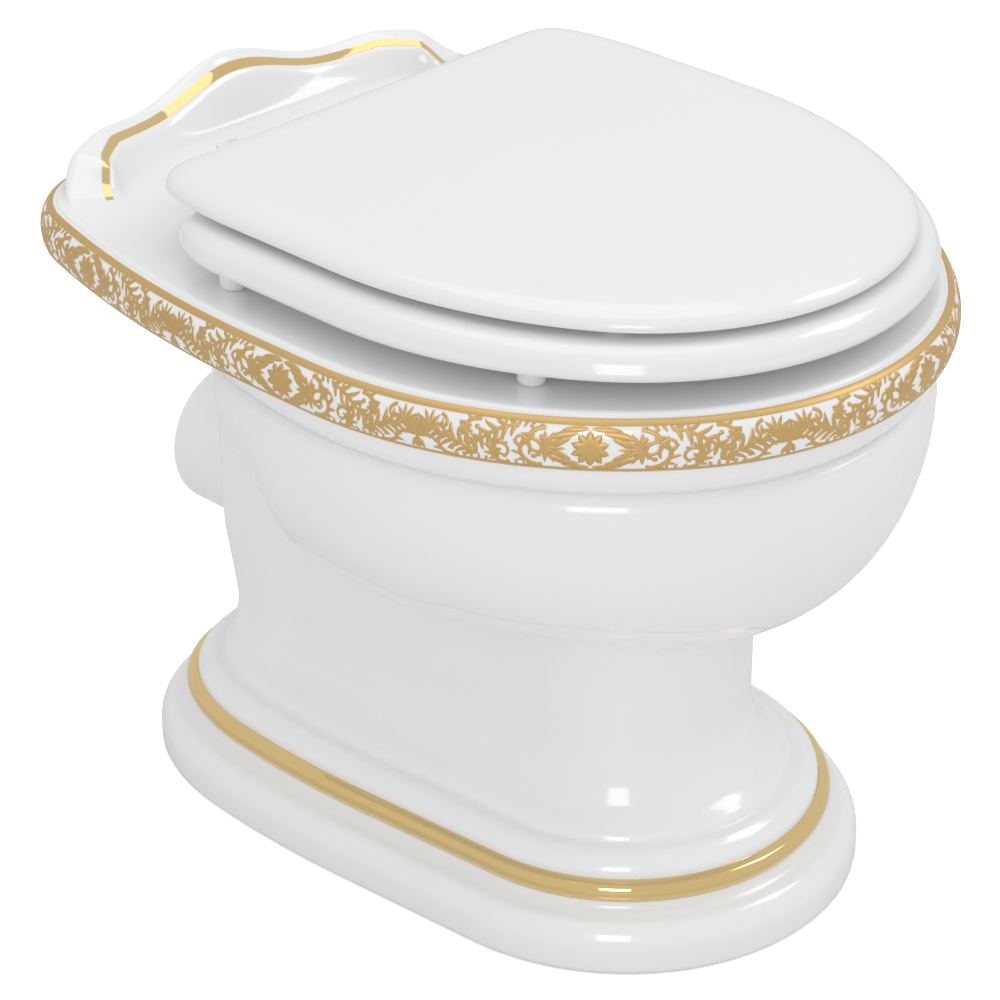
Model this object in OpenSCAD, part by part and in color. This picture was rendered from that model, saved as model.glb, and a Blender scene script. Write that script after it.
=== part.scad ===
// Floor-standing toilet: a vitreous china pan with a gilt frieze, and a soft-close seat and lid.
// The floor is at z = 0, the front faces -Y, and x = 0 is the plane of symmetry.

/* [Pan] */
// Height of the deck above the floor
deck_h = 401.5; // [385:0.5:420]
// Half the width of the rim, measured at the top of its rounded band
rim_half_w = 210; // [200:1:220]
// Radius of the rim's nose, seen from above
rim_nose_r = 184; // [175:1:195]
// Thickness of the china walls
wall = 12; // [9:0.5:14]
// Thickness of the deck that carries the seat
deck_t = 12; // [10:0.5:14]
// How far the rounded band stands out from its top edge
band_bulge = 10; // [6:0.5:14]
// Height of the rounded band
band_h = 31.3; // [26:0.1:36]
// Height of the small moulding under the band, on top of the bowl
moulding_h = 21.9; // [18:0.1:26]

/* [Bowl] */
// Setback of the groove over the bowl from the front of the rim
groove_inset = 9; // [6:0.5:12]
// Half the width of the bowl at the groove
bowl_half_w = 201; // [195:1:206]
// How far the belly swells beyond the groove
belly_swell = 8.5; // [5:0.5:10]
// Depth of the belly's curve at the front and the sides
belly_depth = 122; // [114:1:126]
// Roundness of the belly's curve
belly_power = 2.1; // [1.8:0.05:2.3]
// Half the width of the bowl's mouth inside the rim
mouth_half_w = 187; // [178:1:190]
// Half the width of the opening in the deck
opening_half_w = 126; // [116:1:134]

/* [Pedestal] */
// Setback of the foot's gilt line from the front of the rim
foot_setback = 58; // [50:1:66]
// Half the width at the foot's gilt line
foot_half_w = 137; // [130:1:142]
// How far the pedestal's face lies inside the gilt line
waist_inset = 45; // [40:1:50]
// How far the round moulding on the floor stands out from the gilt line
torus_out = 26; // [20:1:32]

/* [Outlet and inlet] */
// Outside diameter of the waste outlet
outlet_d = 102; // [98:0.5:106]
// Height of the outlet's centre above the floor
outlet_h = 162; // [158:0.5:170]
// How far the outlet's end lies behind the front of the rim
outlet_end = 552; // [540:1:560]
// Bore of the water trap
trap_bore = 76; // [68:1:80]
// Thickness of the trap's wall
trap_wall = 9; // [7:0.5:10]
// Bore of the flush inlet horn behind the bowl
inlet_d = 50; // [44:0.5:52]
// Depth of the flush inlet's centre below the deck
inlet_drop = 69.5; // [65:0.5:75]
// Diameter of the flush pipe that the seal grips
flush_pipe_d = 32; // [30:0.5:35]

/* [Upstand] */
// Height of the middle of the crest above the deck
crest_h = 39; // [30:1:46]
// How far the middle of the crest rises over its sides
crest_lobe = 17.5; // [8:0.5:20]

/* [Seat and lid] */
// Half the width of the seat ring
seat_half_w = 198; // [195:0.5:202]
// Thickness of the seat ring
seat_t = 18; // [15:0.5:20]
// Gap between the deck and the seat ring, filled by the bumpers
seat_gap = 15.6; // [13:0.1:18]
// Half the width of the lid
lid_half_w = 182; // [177:1:186]
// Thickness of the lid
lid_t = 13; // [11:0.5:16]
// Gap between the seat ring and the lid
lid_gap = 5.2; // [4:0.1:7]

/* [Hinge] */
// Distance between the two hinge fixings
hinge_span = 155; // [140:1:165]
// How far the hinge axis lies behind the front of the rim
hinge_back = 430; // [424:1:436]
// Height of the hinge axis above the deck
hinge_h = 19.5; // [18:0.5:22]
// Diameter of the hinge pins
pin_d = 8; // [6:0.5:9]
// Thread diameter of the fixing bolts
bolt_d = 6; // [5:0.5:7]
// Diameter of the deck holes that take the rubber bungs
bung_d = 16; // [14:0.5:18]

/* [Hidden] */

china = "#f1f2f3";
gold = "#cfa857";
plastic = "#eceeef";
chrome = "#c4c7ca";
rubber = "#3a3c3e";
brass = "#b8914a";

// An outline is half a plan shape: a list of [radius, turn] arcs, with [0, length] for a straight.
// It starts on the plane of symmetry at the front, heading for +X, and turns towards the back.
half_n = 32;
loop_n = 2 * half_n;

// Radial clearance of every running or pushed fit
fit = 0.05;

function seg_len(g) = g[0] == 0 ? g[1] : abs(g[0]) * g[1] * PI / 180;
function path_len(path, i = 0) = i == len(path) ? 0 : seg_len(path[i]) + path_len(path, i + 1);
function seg_go(p, a, g, s) =
    g[0] == 0 ? [p + s * [cos(a), sin(a)], a]
    : let (b = a + s / g[0] * 180 / PI)
        [p + g[0] * [sin(b) - sin(a), cos(a) - cos(b)], b];
function walk(path, s, p = [0, 0], a = 0, i = 0) =
    s <= seg_len(path[i]) || i == len(path) - 1 ? seg_go(p, a, path[i], s)
    : let (n = seg_go(p, a, path[i], seg_len(path[i])))
        walk(path, s - seg_len(path[i]), n[0], n[1], i + 1);
function path_end(path) = walk(path, path_len(path));
// Share of a whole outline that a stretch takes: part by its turn, so that outlines match up by heading
turn_share = 0.6;
function seg_share(g, total) =
    turn_share * (g[0] == 0 ? 0 : g[1] / 180) + (1 - turn_share) * seg_len(g) / total;
function walk_share(path, total, u, p = [0, 0], a = 0, i = 0) =
    let (share = seg_share(path[i], total))
    u <= share || i == len(path) - 1 ? seg_go(p, a, path[i], seg_len(path[i]) * min(1, u / share))
    : let (n = seg_go(p, a, path[i], seg_len(path[i])))
        walk_share(path, total, u - share, n[0], n[1], i + 1);

// The second arc of a nose, which carries it on to its full half width
function shoulder_r(half_w, nose_r, nose_turn) =
    (half_w - nose_r * sin(nose_turn)) / (1 - sin(nose_turn));
// Adds the arc that brings an outline back to the plane of symmetry
function close_round(path) =
    let (e = path_end(path))
    let (turn = 180 - e[1])
        concat(path, [[e[0][0] / sin(turn), turn]]);
// Adds a corner and a straight back edge
function close_straight(path, corner_r) =
    let (cornered = concat(path, [[corner_r, 180 - path_end(path)[1]]]))
        concat(cornered, [[0, path_end(cornered)[0][0]]]);

rim_path = close_round([
    [rim_nose_r, 38], [shoulder_r(rim_half_w, rim_nose_r, 38), 52], [0, 46], [720, 16.5], [62, 53.5]]);
rim_depth = path_end(rim_path)[0][1];
// The front of the rim lies this far in front of the origin
front_y = -rim_depth / 2;

// The bowl's nose is rounder than half its width by this much
bowl_nose_less = 26;
bowl_nose_r = bowl_half_w - bowl_nose_less;
bowl_nose_path = [[bowl_nose_r, 38], [shoulder_r(bowl_half_w, bowl_nose_r, 38), 52]];
// The end of the bowl's straight back side, from the plane of symmetry and from the groove's front
bowl_corner = [104.47, 428.71];
bowl_side_turn = 15.5;
bowl_corner_turn = 24.5;
bowl_corner_r = 50;
bowl_back_turn = bowl_side_turn + bowl_corner_turn;
// The long curve of the side and the straight behind it always lead from the nose to that corner
bowl_way = bowl_corner - path_end(bowl_nose_path)[0]
    - bowl_corner_r * [cos(bowl_back_turn) - cos(bowl_side_turn), sin(bowl_back_turn) - sin(bowl_side_turn)];
bowl_side_r = (bowl_way[0] * cos(bowl_back_turn) + bowl_way[1] * sin(bowl_back_turn))
    / (sin(bowl_side_turn) * sin(bowl_back_turn) - (1 - cos(bowl_side_turn)) * cos(bowl_back_turn));
bowl_back_run = -(bowl_way[0] + bowl_side_r * (1 - cos(bowl_side_turn))) / sin(bowl_back_turn);
bowl_path = close_round(concat(bowl_nose_path, [
    [bowl_side_r, bowl_side_turn], [bowl_corner_r, bowl_corner_turn], [0, bowl_back_run]]));
mouth_nose_r = 161;
mouth_path = close_round([
    [mouth_nose_r, 38], [shoulder_r(mouth_half_w, mouth_nose_r, 38), 52], [0, 12], [118, 60]]);
opening_path = close_round([
    [122, 70], [shoulder_r(opening_half_w, 122, 70), 20], [0, 24],
    [shoulder_r(opening_half_w, 122, 70), 20]]);
// The straight side of the foot leans out by a few degrees, and the nose takes up the rest of the width
foot_side = 110;
foot_nose_r = (foot_half_w - foot_side * cos(85) - 720 * (1 - sin(85))) / sin(85);
foot_path = close_round([
    [foot_nose_r, 85], [0, foot_side], [720, 9], [150, 21], [90, 50]]);
// A nose that reaches half_w, and a straight side that ends at side_end, whatever the width
function nose_and_side(half_w, nose_r, nose_turn, side_end) =
    let (nose = [[nose_r, nose_turn], [shoulder_r(half_w, nose_r, nose_turn), 90 - nose_turn]])
        concat(nose, [[0, side_end - path_end(nose)[0][1]]]);
// How far the noses' radii are under half the width, and where the straight sides end
seat_nose_less = 17;
seat_side_end = 323.37;
lid_nose_less = 20;
lid_side_end = 318.75;
seat_path = close_straight(concat(
    nose_and_side(seat_half_w, seat_half_w - seat_nose_less, 52, seat_side_end), [[90, 30]]), 40);
lid_path = close_straight(concat(
    nose_and_side(lid_half_w, lid_half_w - lid_nose_less, 58, lid_side_end), [[245, 13]]), 33);

// Points of a whole outline, each [x, y, outward x, outward y], anticlockwise from the front
function outline(path, setback) =
    let (total = path_len(path))
    let (half = [for (i = [0:half_n]) walk_share(path, total, i / half_n)])
    [for (i = [0:loop_n - 1])
        let (w = half[i <= half_n ? i : loop_n - i])
        let (side = i <= half_n ? 1 : -1)
            [side * w[0][0], w[0][1] + setback + front_y, side * sin(w[1]), -cos(w[1])]];
// An outline of a circle, with the same number of points
function ring_outline(r, y) =
    [for (i = [0:loop_n - 1])
        let (a = -90 + 360 * i / loop_n)
            [r * cos(a), y + front_y + r * sin(a), cos(a), sin(a)]];

rim_line = outline(rim_path, 0);
bowl_line = outline(bowl_path, groove_inset);
mouth_line = outline(mouth_path, 23);
opening_line = outline(opening_path, 48);
foot_line = outline(foot_path, foot_setback);
seat_line = outline(seat_path, 4);
lid_line = outline(lid_path, 16);

// A point at distance d outside an outline's point o, at height z
function at(o, d, z) = [o[0] + d * o[2], o[1] + d * o[3], z];
// A point part of the way from a to b
function between(a, b, f) = a + (b - a) * f;

// A closed ring whose cross-sections are listed in order round the plan
module ring_solid(sections) {
    m = len(sections[0]);
    n = len(sections);
    polyhedron(
        points = [for (s = sections) each s],
        faces = [for (i = [0:n - 1], j = [0:m - 1])
            let (a = i * m + j)
            let (b = ((i + 1) % n) * m + j)
            let (c = ((i + 1) % n) * m + (j + 1) % m)
            let (d = i * m + (j + 1) % m)
                each [[a, b, c], [a, c, d]]]);
}

// A solid lofted through rings of points, from the highest to the lowest, with flat ends
module loft_solid(rings) {
    n = len(rings[0]);
    m = len(rings);
    polyhedron(
        points = [for (r = rings) each r],
        faces = concat(
            [for (j = [0:m - 2], i = [0:n - 1])
                let (a = j * n + i)
                let (b = j * n + (i + 1) % n)
                    each [[a, b, b + n], [a, b + n, a + n]]],
            [[for (i = [n - 1:-1:0]) i], [for (i = [0:n - 1]) (m - 1) * n + i]]));
}

// Heights of the rim's mouldings
band_top = deck_h - 2;
band_low = band_top - band_h;
groove_z = band_low - moulding_h;
band_mid = (band_top + band_low) / 2;
band_foot = 3.3;
// Where the band, the moulding and the groove lie, as [distance out from the rim's line, height]
function band_profile(grow) = concat(
    [for (a = [90:-18:0]) [grow + band_bulge * cos(a), band_mid + (band_top - band_mid + grow) * sin(a)]],
    [for (a = [18:18:90])
        [grow + band_foot + (band_bulge - band_foot) * cos(a),
            band_mid - (band_mid - band_low) * sin(a)]]);
// The small moulding, as [distance out from the bowl's line, height]
moulding_profile = [
    [7.5, band_low], [8.6, band_low - 6], [8.2, band_low - 11], [5.5, band_low - 16], [0, groove_z]];

plate_t = 10;
lip_h = 49;
channel_gap = 9;
shell = wall + 2;

module pan_rim() {
    color(china)
    difference() {
        ring_solid([for (i = [0:loop_n - 1])
            let (o = rim_line[i])
            let (b = bowl_line[i])
            let (h = opening_line[i])
                concat(
                    [at(o, -3, deck_h)],
                    [for (p = band_profile(0)) at(o, p[0], p[1])],
                    [at(b, -shell, band_low), at(b, -shell, band_low + plate_t),
                        at(o, -channel_gap, band_low + plate_t), at(o, -channel_gap, deck_h - deck_t),
                        at(h, wall, deck_h - deck_t), at(h, wall, deck_h - lip_h),
                        at(h, 0, deck_h - lip_h), at(h, 0, deck_h - 4), at(h, 4, deck_h)])]);
        for (side = [-1, 1])
            translate([side * hinge_span / 2, hinge_back + front_y, deck_h - deck_t - 1])
                cylinder(d = bung_d, h = deck_t + 2, $fn = 48);
    }
}

// The belly and the pedestal are one surface, which runs from the groove to the waist
belly_top = groove_z - 12.3;
split_z = 130;
function ramp(v, low, high) = min(1, max(0, (v - low) / (high - low)));
// How much an outline's point belongs to the back corners: 0 at the front and sides, 1 behind
function behind(i) = ramp(foot_line[i][3], 0, 0.65);
// The back of the pedestal stands further out, and leans outwards as it rises
function waist_out(i, z) = -waist_inset + behind(i) * (15 + 8.5 * ramp(z, 106, 167));
function waist(i, z) = at(foot_line[i], waist_out(i, z), z);
function swell(i) = belly_swell * (1 - 0.5 * behind(i));
function lift(p, z) = [p[0], p[1], z];
// The belly draws in over this height behind, and over the whole depth in front
back_drop = 88;
function belly_reach(i) = norm(at(bowl_line[i], swell(i), 0) - waist(i, 0));
function belly_drop(i) = back_drop + (belly_depth - back_drop) * pow(ramp(belly_reach(i), 0, 100), 0.6);
// A point of the belly's curve at turn t, or of the same curve lying a wall's thickness inside it
function belly_point(i, t, in) =
    let (z = belly_top - (belly_drop(i) - in) * pow(sin(t), 2 / belly_power))
    let (f = 1 - pow(cos(t), 2 / belly_power))
        lift(between(at(bowl_line[i], swell(i) - in, 0), waist(i, z), f), z);
belly_turns = [0, 18, 33, 46, 57, 67, 76, 84];
function belly_section(i) =
    let (foot = belly_top - belly_drop(i))
        concat(
            [for (p = moulding_profile) at(bowl_line[i], p[0], p[1])],
            [at(bowl_line[i], swell(i) * 0.6, groove_z - 3)],
            [for (t = belly_turns) belly_point(i, t, 0)],
            [lift(between(belly_point(i, 84, 0), waist(i, foot), 0.75), foot - 1),
                waist(i, foot - 7), waist(i, split_z)]);

throat_y = 214;
throat_line = ring_outline(trap_bore / 2, throat_y);
// How wide the space between the basin and the outer shell is: 0 at the front and sides, 1 at the back
function backness(i) = ramp(bowl_line[i][1] - front_y, 330, 440);
basin_wall = 14;
// The water side of the bowl follows the belly in front, and stands free of it behind.
// How far it has drawn in from the mouth to the throat at a height: free of the belly, and under it
// The heights in these two tables are for a belly of this inner height, and follow it
table_rise = 96;
rise = (belly_top - belly_depth + basin_wall - split_z) / table_rise;
function level(z) = split_z + (z - split_z) * rise;
function table_z(z) = split_z + (z - split_z) / rise;
function free_share(z) = lookup(table_z(z), [[split_z, 1], [170, 0.985], [200, 0.92], [225, 0.79],
    [245, 0.56], [270, 0.26], [300, 0.1], [340, 0]]);
function sump_share(z) =
    lookup(table_z(z), [[split_z, 1], [165, 0.92], [188, 0.75], [208, 0.5], [226, 0]]);
basin_turns = [20, 36, 49, 60, 70, 80];
basin_heights = [for (z = [312, 290, 271, 255, 241, 226]) level(z)];
basin_rim_z = level(340);
function basin_free(i, z) = lift(between(mouth_line[i], throat_line[i], free_share(z)), z);
function basin_upper(i, k) =
    between(belly_point(i, basin_turns[k], basin_wall), basin_free(i, basin_heights[k]), backness(i));
sump_heights = [for (z = [208, 188, 165, split_z]) level(z)];
function basin_low(i, z) =
    let (under = lift(between(belly_point(i, 80, basin_wall), throat_line[i], sump_share(z)), z))
        between(under, basin_free(i, z), backness(i));
basin_back_z = level(165);
// The dry side of the basin
function basin_back(i, z) = basin_low(i, z) + basin_wall * [throat_line[i][2], throat_line[i][3], 0];
// The shelf behind the basin lies this far below the deck
shelf_drop = 111.5;
shelf_z = deck_h - shelf_drop;

function bowl_section(i) =
    let (b = backness(i))
    let (hollow = between(basin_back_z, shelf_z - wall, b * b))
    let (half_hollow = between(split_z, hollow, 0.5))
    let (chamber = between(band_low - 3, shelf_z, b))
    let (groove_out = between(-3, -wall, b))
    let (groove_in = between(at(bowl_line[i], -8, 0), at(mouth_line[i], 10, 0), b))
        concat(
            belly_section(i),
            [at(foot_line[i], waist_out(i, split_z) - wall, split_z),
                at(foot_line[i], waist_out(i, half_hollow) - wall, half_hollow),
                at(foot_line[i], waist_out(i, hollow) - wall, hollow),
                basin_back(i, hollow), basin_back(i, half_hollow),
                at(throat_line[i], trap_wall, split_z)],
            [for (k = [len(sump_heights) - 1:-1:0]) basin_low(i, sump_heights[k])],
            [for (k = [len(basin_turns) - 1:-1:0]) basin_upper(i, k)],
            [lift(mouth_line[i], basin_rim_z), lift(mouth_line[i], band_low),
                lift(groove_in, band_low), lift(groove_in, chamber),
                at(bowl_line[i], groove_out, chamber), at(bowl_line[i], groove_out, band_low)]);

module pan_bowl() {
    color(china)
    difference() {
        ring_solid([for (i = [0:loop_n - 1]) bowl_section(i)]);
        outlet_hole();
        translate([0, inlet_start + front_y - hole_reach, inlet_h])
            rotate([-90, 0, 0])
                cylinder(d = inlet_d + 2 * inlet_wall + 2 * luting, h = 2 * hole_reach, $fn = 72);
    }
}

// Width of the joint where one section of the china passes through another
luting = 0.3;
// How far the cut for such a joint runs to either side of the wall
hole_reach = 30;
module outlet_hole() {
    translate([0, outlet_start + front_y - hole_reach, outlet_h])
        rotate([-90, 0, 0])
            cylinder(d = outlet_d + 2 * (luting - outlet_neck), h = 2 * hole_reach, $fn = 72);
}

// Outer profile of the foot, as [distance out from the gilt line, height]
gilt_z = 52.3;
torus_w = 15;
foot_profile = concat(
    [[-waist_inset + 1, 106], [-39, 92], [-32, 81], [-24.5, 75], [-20, 71.5],
        [-17.7, 67], [-11, 66.2], [-5, 62.5], [-1, 57.5], [0, gilt_z]],
    bead_profile(0),
    [[4.7, 39.7], [6, 36]],
    [for (a = [78:-19.5:0]) [torus_out - torus_w + torus_w * cos(a), 14 + 18.5 * sin(a)]],
    [[torus_out, 4], [torus_out - 1, 0]]);
function bead_profile(grow) = [for (a = [62, 20, -20])
    [2.5 + (5 + grow) * cos(a), 45.8 + (6 + grow) * sin(a)]];
// Above the step the profile draws in less at the back, where the pedestal stands further out
step_z = 67;
step_out = -17.7;
function foot_out(i, p) =
    p[1] < step_z + 1 ? p[0] : step_out + (p[0] - step_out) * (1 - 0.55 * behind(i));
foot_inner = [[9, 0], [9, 20], [-8, 38], [-34, 58], [-waist_inset - wall, 88]];

module pan_foot() {
    color(china)
    difference() {
        ring_solid([for (i = [0:loop_n - 1])
            let (o = foot_line[i])
                concat(
                    [waist(i, split_z)],
                    [for (p = foot_profile) at(o, foot_out(i, p), p[1])],
                    [for (p = foot_inner) at(o, p[0], p[1])],
                    [at(o, waist_out(i, split_z) - wall, split_z)])]);
        outlet_hole();
        for (side = [-1, 1])
            translate([side * floor_hole_span / 2, floor_hole_y + front_y, -1])
                cylinder(d = floor_hole_d, h = 90, $fn = 32);
    }
}
floor_hole_d = 8;
floor_hole_span = 72;
floor_hole_y = 491;

// The trap's centre line: down, round the sump, up over the weir and down to the outlet
trap_r = 58;
sump_z = 70;
weir_r = 53;
weir_z = 200;
drop_r = 52;
drop_turn = acos(1 - (weir_z - outlet_h) / (2 * drop_r));
trap_path = [
    [0, split_z - sump_z - trap_r], [trap_r, 180], [0, weir_z - weir_r - sump_z - trap_r],
    [-weir_r, 90], [-drop_r, drop_turn], [drop_r, drop_turn]];
outlet_start = throat_y + 2 * trap_r + weir_r + 2 * drop_r * sin(drop_turn);
trap_steps = 20;
trap_sides = 20;
function trap_point(w, r, a) =
    [r * cos(a), w[0][0] - r * sin(a) * sin(w[1]), w[0][1] + r * sin(a) * cos(w[1])];

module trapway() {
    color(china)
    ring_solid([for (k = [0:trap_sides - 1])
        let (a = 360 * k / trap_sides)
        let (way = [for (q = [0:trap_steps])
            walk(trap_path, path_len(trap_path) * q / trap_steps, [throat_y + front_y, split_z], -90)])
            concat(
                [for (q = [0:trap_steps]) trap_point(way[q], trap_bore / 2 + trap_wall, a)],
                [for (q = [trap_steps:-1:0]) trap_point(way[q], trap_bore / 2, a)])]);
}

// Where the outlet stands clear of the pedestal, measured behind the front of the rim
outlet_clear = 484;
// The outlet is thinner by this where it passes through the pedestal's wall
outlet_neck = 1;
module outlet_spigot() {
    color(china)
    translate([0, outlet_start + front_y, outlet_h])
        rotate([-90, 0, 0])
            difference() {
                union() {
                    cylinder(d = outlet_d - 2 * outlet_neck, h = outlet_end - outlet_start, $fn = 72);
                    translate([0, 0, outlet_clear - outlet_start])
                        cylinder(d = outlet_d, h = outlet_end - outlet_clear, $fn = 72);
                }
                translate([0, 0, -1])
                    cylinder(d = outlet_d - 2 * trap_wall, h = outlet_end - outlet_start + 2, $fn = 72);
            }
}

// The flush inlet's wall, and where it starts and ends, measured behind the bowl's back corner
inlet_wall = 6;
inlet_start = groove_inset + bowl_corner[1] + 38.29;
inlet_end = inlet_start + 69;
inlet_h = deck_h - inlet_drop;
module inlet_horn() {
    color(china)
    translate([0, inlet_start + front_y, inlet_h])
        rotate([-90, 0, 0])
            difference() {
                cylinder(d = inlet_d + 2 * inlet_wall, h = inlet_end - inlet_start, $fn = 72);
                translate([0, 0, -1])
                    cylinder(d = inlet_d, h = inlet_end - inlet_start + 2, $fn = 72);
            }
}
// The crest's height over the deck, at distance x from the plane of symmetry
function crest_rise(x) =
    let (u = abs(x))
    let (middle = u < 80 ? crest_lobe * (1 + cos(180 * u / 80)) / 2 : 0)
    let (side = 2.5 * exp(-pow((u - 108) / 24, 2)))
    let (t = ramp(u, 134, 168))
        max(1.5, (crest_h - crest_lobe + middle + side) * (1 - t * t * (3 - 2 * t)));
crest_n = 44;
crest_run = 180;

module back_upstand() {
    color(china)
    ring_wall([for (k = [0:crest_n]) crest_section(k)]);
}
// Points along the back of the rim, from its right end to its left end
function back_line(k) =
    let (total = path_len(rim_path))
    let (half_s = total - crest_run * abs(1 - 2 * k / crest_n))
    let (w = walk(rim_path, half_s))
    let (side = k <= crest_n / 2 ? 1 : -1)
        [side * w[0][0], w[0][1] + front_y, side * sin(w[1]), -cos(w[1])];
// Across the upstand from its outer foot: [where it fades out, how much further in it lies at full
// thickness, share of the crest's height]
crest_profile = [
    [-3.5, 0, 0], [-3.5, -2, 0.3], [-4, -3, 0.7], [-5, -4, 0.94], [-6, -7, 1],
    [-8, -10, 0.85], [-10, -16, 0.7], [-11, -21, 0.35], [-12, -26, 0]];
// The upstand has its full thickness where it is at least this high
full_crest_h = 22;
function crest_section(k) =
    let (o = back_line(k))
    let (h = crest_rise(o[0]))
    let (n = min(1, h / full_crest_h))
        [for (p = crest_profile) at(o, p[0] + n * p[1], deck_h + h * p[2])];
// An open run of cross-sections, each listed up its outer side, closed at both ends
module ring_wall(sections) {
    m = len(sections[0]);
    n = len(sections);
    polyhedron(
        points = [for (s = sections) each s],
        faces = concat(
            [for (i = [0:n - 2], j = [0:m - 1])
                let (a = i * m + j)
                let (b = i * m + m + j)
                let (c = i * m + m + (j + 1) % m)
                let (d = i * m + (j + 1) % m)
                    each [[a, c, b], [a, d, c]]],
            [[for (j = [m - 1:-1:0]) j], [for (j = [0:m - 1]) (n - 1) * m + j]]));
}

// Thickness of the gilding
skin = 0.3;
module gilt_frieze_band() {
    color(gold)
    ring_solid([for (i = [0:loop_n - 1])
        let (inner = band_profile(0))
        let (outer = band_profile(skin))
            concat(
                [for (p = outer) at(rim_line[i], p[0], p[1])],
                [for (k = [len(inner) - 1:-1:0]) at(rim_line[i], inner[k][0], inner[k][1])])]);
}

module gilt_foot_bead() {
    inner = concat([[0, gilt_z]], bead_profile(0), [[4.7, 39.7]]);
    outer = concat([[skin, gilt_z + skin]], bead_profile(skin), [[4.7 + skin, 39.7 - skin]]);
    color(gold)
    ring_solid([for (i = [0:loop_n - 1])
        concat(
            [for (p = outer) at(foot_line[i], p[0], p[1])],
            [for (k = [len(inner) - 1:-1:0]) at(foot_line[i], inner[k][0], inner[k][1])])]);
}

// The change of the crest's height from one cross-section to its neighbours
function crest_step(k) =
    let (h = crest_rise(back_line(k)[0]))
        max(abs(h - crest_rise(back_line(k - 1)[0])), abs(h - crest_rise(back_line(k + 1)[0])));
// The line is raised by this share of that change, because a twisted facet can be split in two ways
crest_twist = 0.08;
module gilt_crest_line() {
    color(gold)
    ring_wall([for (k = [1:crest_n - 1])
        let (s = crest_section(k))
        let (low = [0, 0, skin / 5 + crest_twist * crest_step(k)])
        let (high = low + [0, 0, skin])
            [s[5] + low, s[5] + high, s[6] + high, s[6] + low]]);
}

seal_len = 30;
module flush_inlet_seal() {
    color(rubber)
    translate([0, inlet_end - seal_len + front_y, inlet_h])
        rotate([-90, 0, 0])
            difference() {
                cylinder(d = inlet_d - 2 * fit, h = seal_len, $fn = 64);
                translate([0, 0, -1])
                    cylinder(d = flush_pipe_d, h = seal_len + 2, $fn = 64);
            }
}

// Seat ring and lid
seat_z = deck_h + seat_gap;
lid_z = seat_z + seat_t + lid_gap;
seat_hole_path = close_round([[108, 70], [shoulder_r(112, 108, 70), 20], [0, 30],
    [shoulder_r(112, 108, 70), 20]]);
seat_hole_line = outline(seat_hole_path, 62);
module screw_pilots(offset, z) {
    for (side = [-1, 1])
        translate([side * (hinge_span / 2 + offset), axis_y + lug_screw_y, z])
            cylinder(d = screw_d + 2 * fit, h = pilot_h, $fn = 32);
}
pilot_h = 10;
module seat_ring() {
    color(plastic)
    difference() {
        seat_ring_body();
        screw_pilots(-lug_offset, seat_z - 2);
    }
}
// The ring's outer and inner sides, as [distance out from the outline, height]
seat_top_z = seat_z + seat_t;
seat_outer_profile = [
    [-17, seat_top_z], [-9, seat_top_z - 1.5], [-3, seat_top_z - 6], [-0.2, seat_top_z - 12],
    [0.3, seat_z + 3], [-1, seat_z]];
seat_inner_profile = [
    [1, seat_z], [-0.5, seat_z + 3], [0.5, seat_top_z - 9], [5, seat_top_z - 3], [14, seat_top_z]];
module seat_ring_body() {
    ring_solid([for (i = [0:loop_n - 1])
        concat(
            [for (p = seat_outer_profile) at(seat_line[i], p[0], p[1])],
            [for (p = seat_inner_profile) at(seat_hole_line[i], p[0], p[1])])]);
}

// Width of the lid's rounded edge, and the height of the plain edge under it
lid_round_w = 25;
lid_edge_h = 1.8;
module lid() {
    color(plastic)
    difference() {
        lid_body();
        screw_pilots(lug_offset, lid_z - 2);
    }
}
module lid_body() {
    loft_solid(concat(
        [for (a = [90, 68, 50, 34, 20, 8]) [for (o = lid_line)
            at(o, lid_round_w * (cos(a) - 1), lid_z + lid_edge_h + (lid_t - lid_edge_h) * sin(a))]],
        [[for (o = lid_line) at(o, -0.4, lid_z)]]));
}

// Bumpers under the seat ring, as [x, distance behind the rim's front]
bumper_front = [147, 125];
bumper_rear = [179, 334];
bumper_d = 17;
bumper_chamfer = [1.5, 2];
module seat_bumper(x, back) {
    color(plastic)
    translate([x, back + front_y, deck_h]) {
        cylinder(d1 = bumper_d - 2 * bumper_chamfer[0], d2 = bumper_d, h = bumper_chamfer[1], $fn = 40);
        translate([0, 0, bumper_chamfer[1]])
            cylinder(d = bumper_d, h = seat_gap - bumper_chamfer[1], $fn = 40);
    }
}
module seat_bumper_front_left() { seat_bumper(-bumper_front[0], bumper_front[1]); }
module seat_bumper_front_right() { seat_bumper(bumper_front[0], bumper_front[1]); }
module seat_bumper_rear_left() { seat_bumper(-bumper_rear[0], bumper_rear[1]); }
module seat_bumper_rear_right() { seat_bumper(bumper_rear[0], bumper_rear[1]); }

lid_bumper_at = [116, 92];
lid_bumper_d = 12;
module lid_bumper(side) {
    color(plastic)
    translate([side * lid_bumper_at[0], lid_bumper_at[1] + front_y, seat_top_z])
        cylinder(d = lid_bumper_d, h = lid_gap, $fn = 32);
}
module lid_bumper_left() { lid_bumper(-1); }
module lid_bumper_right() { lid_bumper(1); }

// Hinge
axis_y = hinge_back + front_y;
axis_z = deck_h + hinge_h;
base_d = 34;
base_t = 5;
post_d = 12;
post_h = 8;
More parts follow.
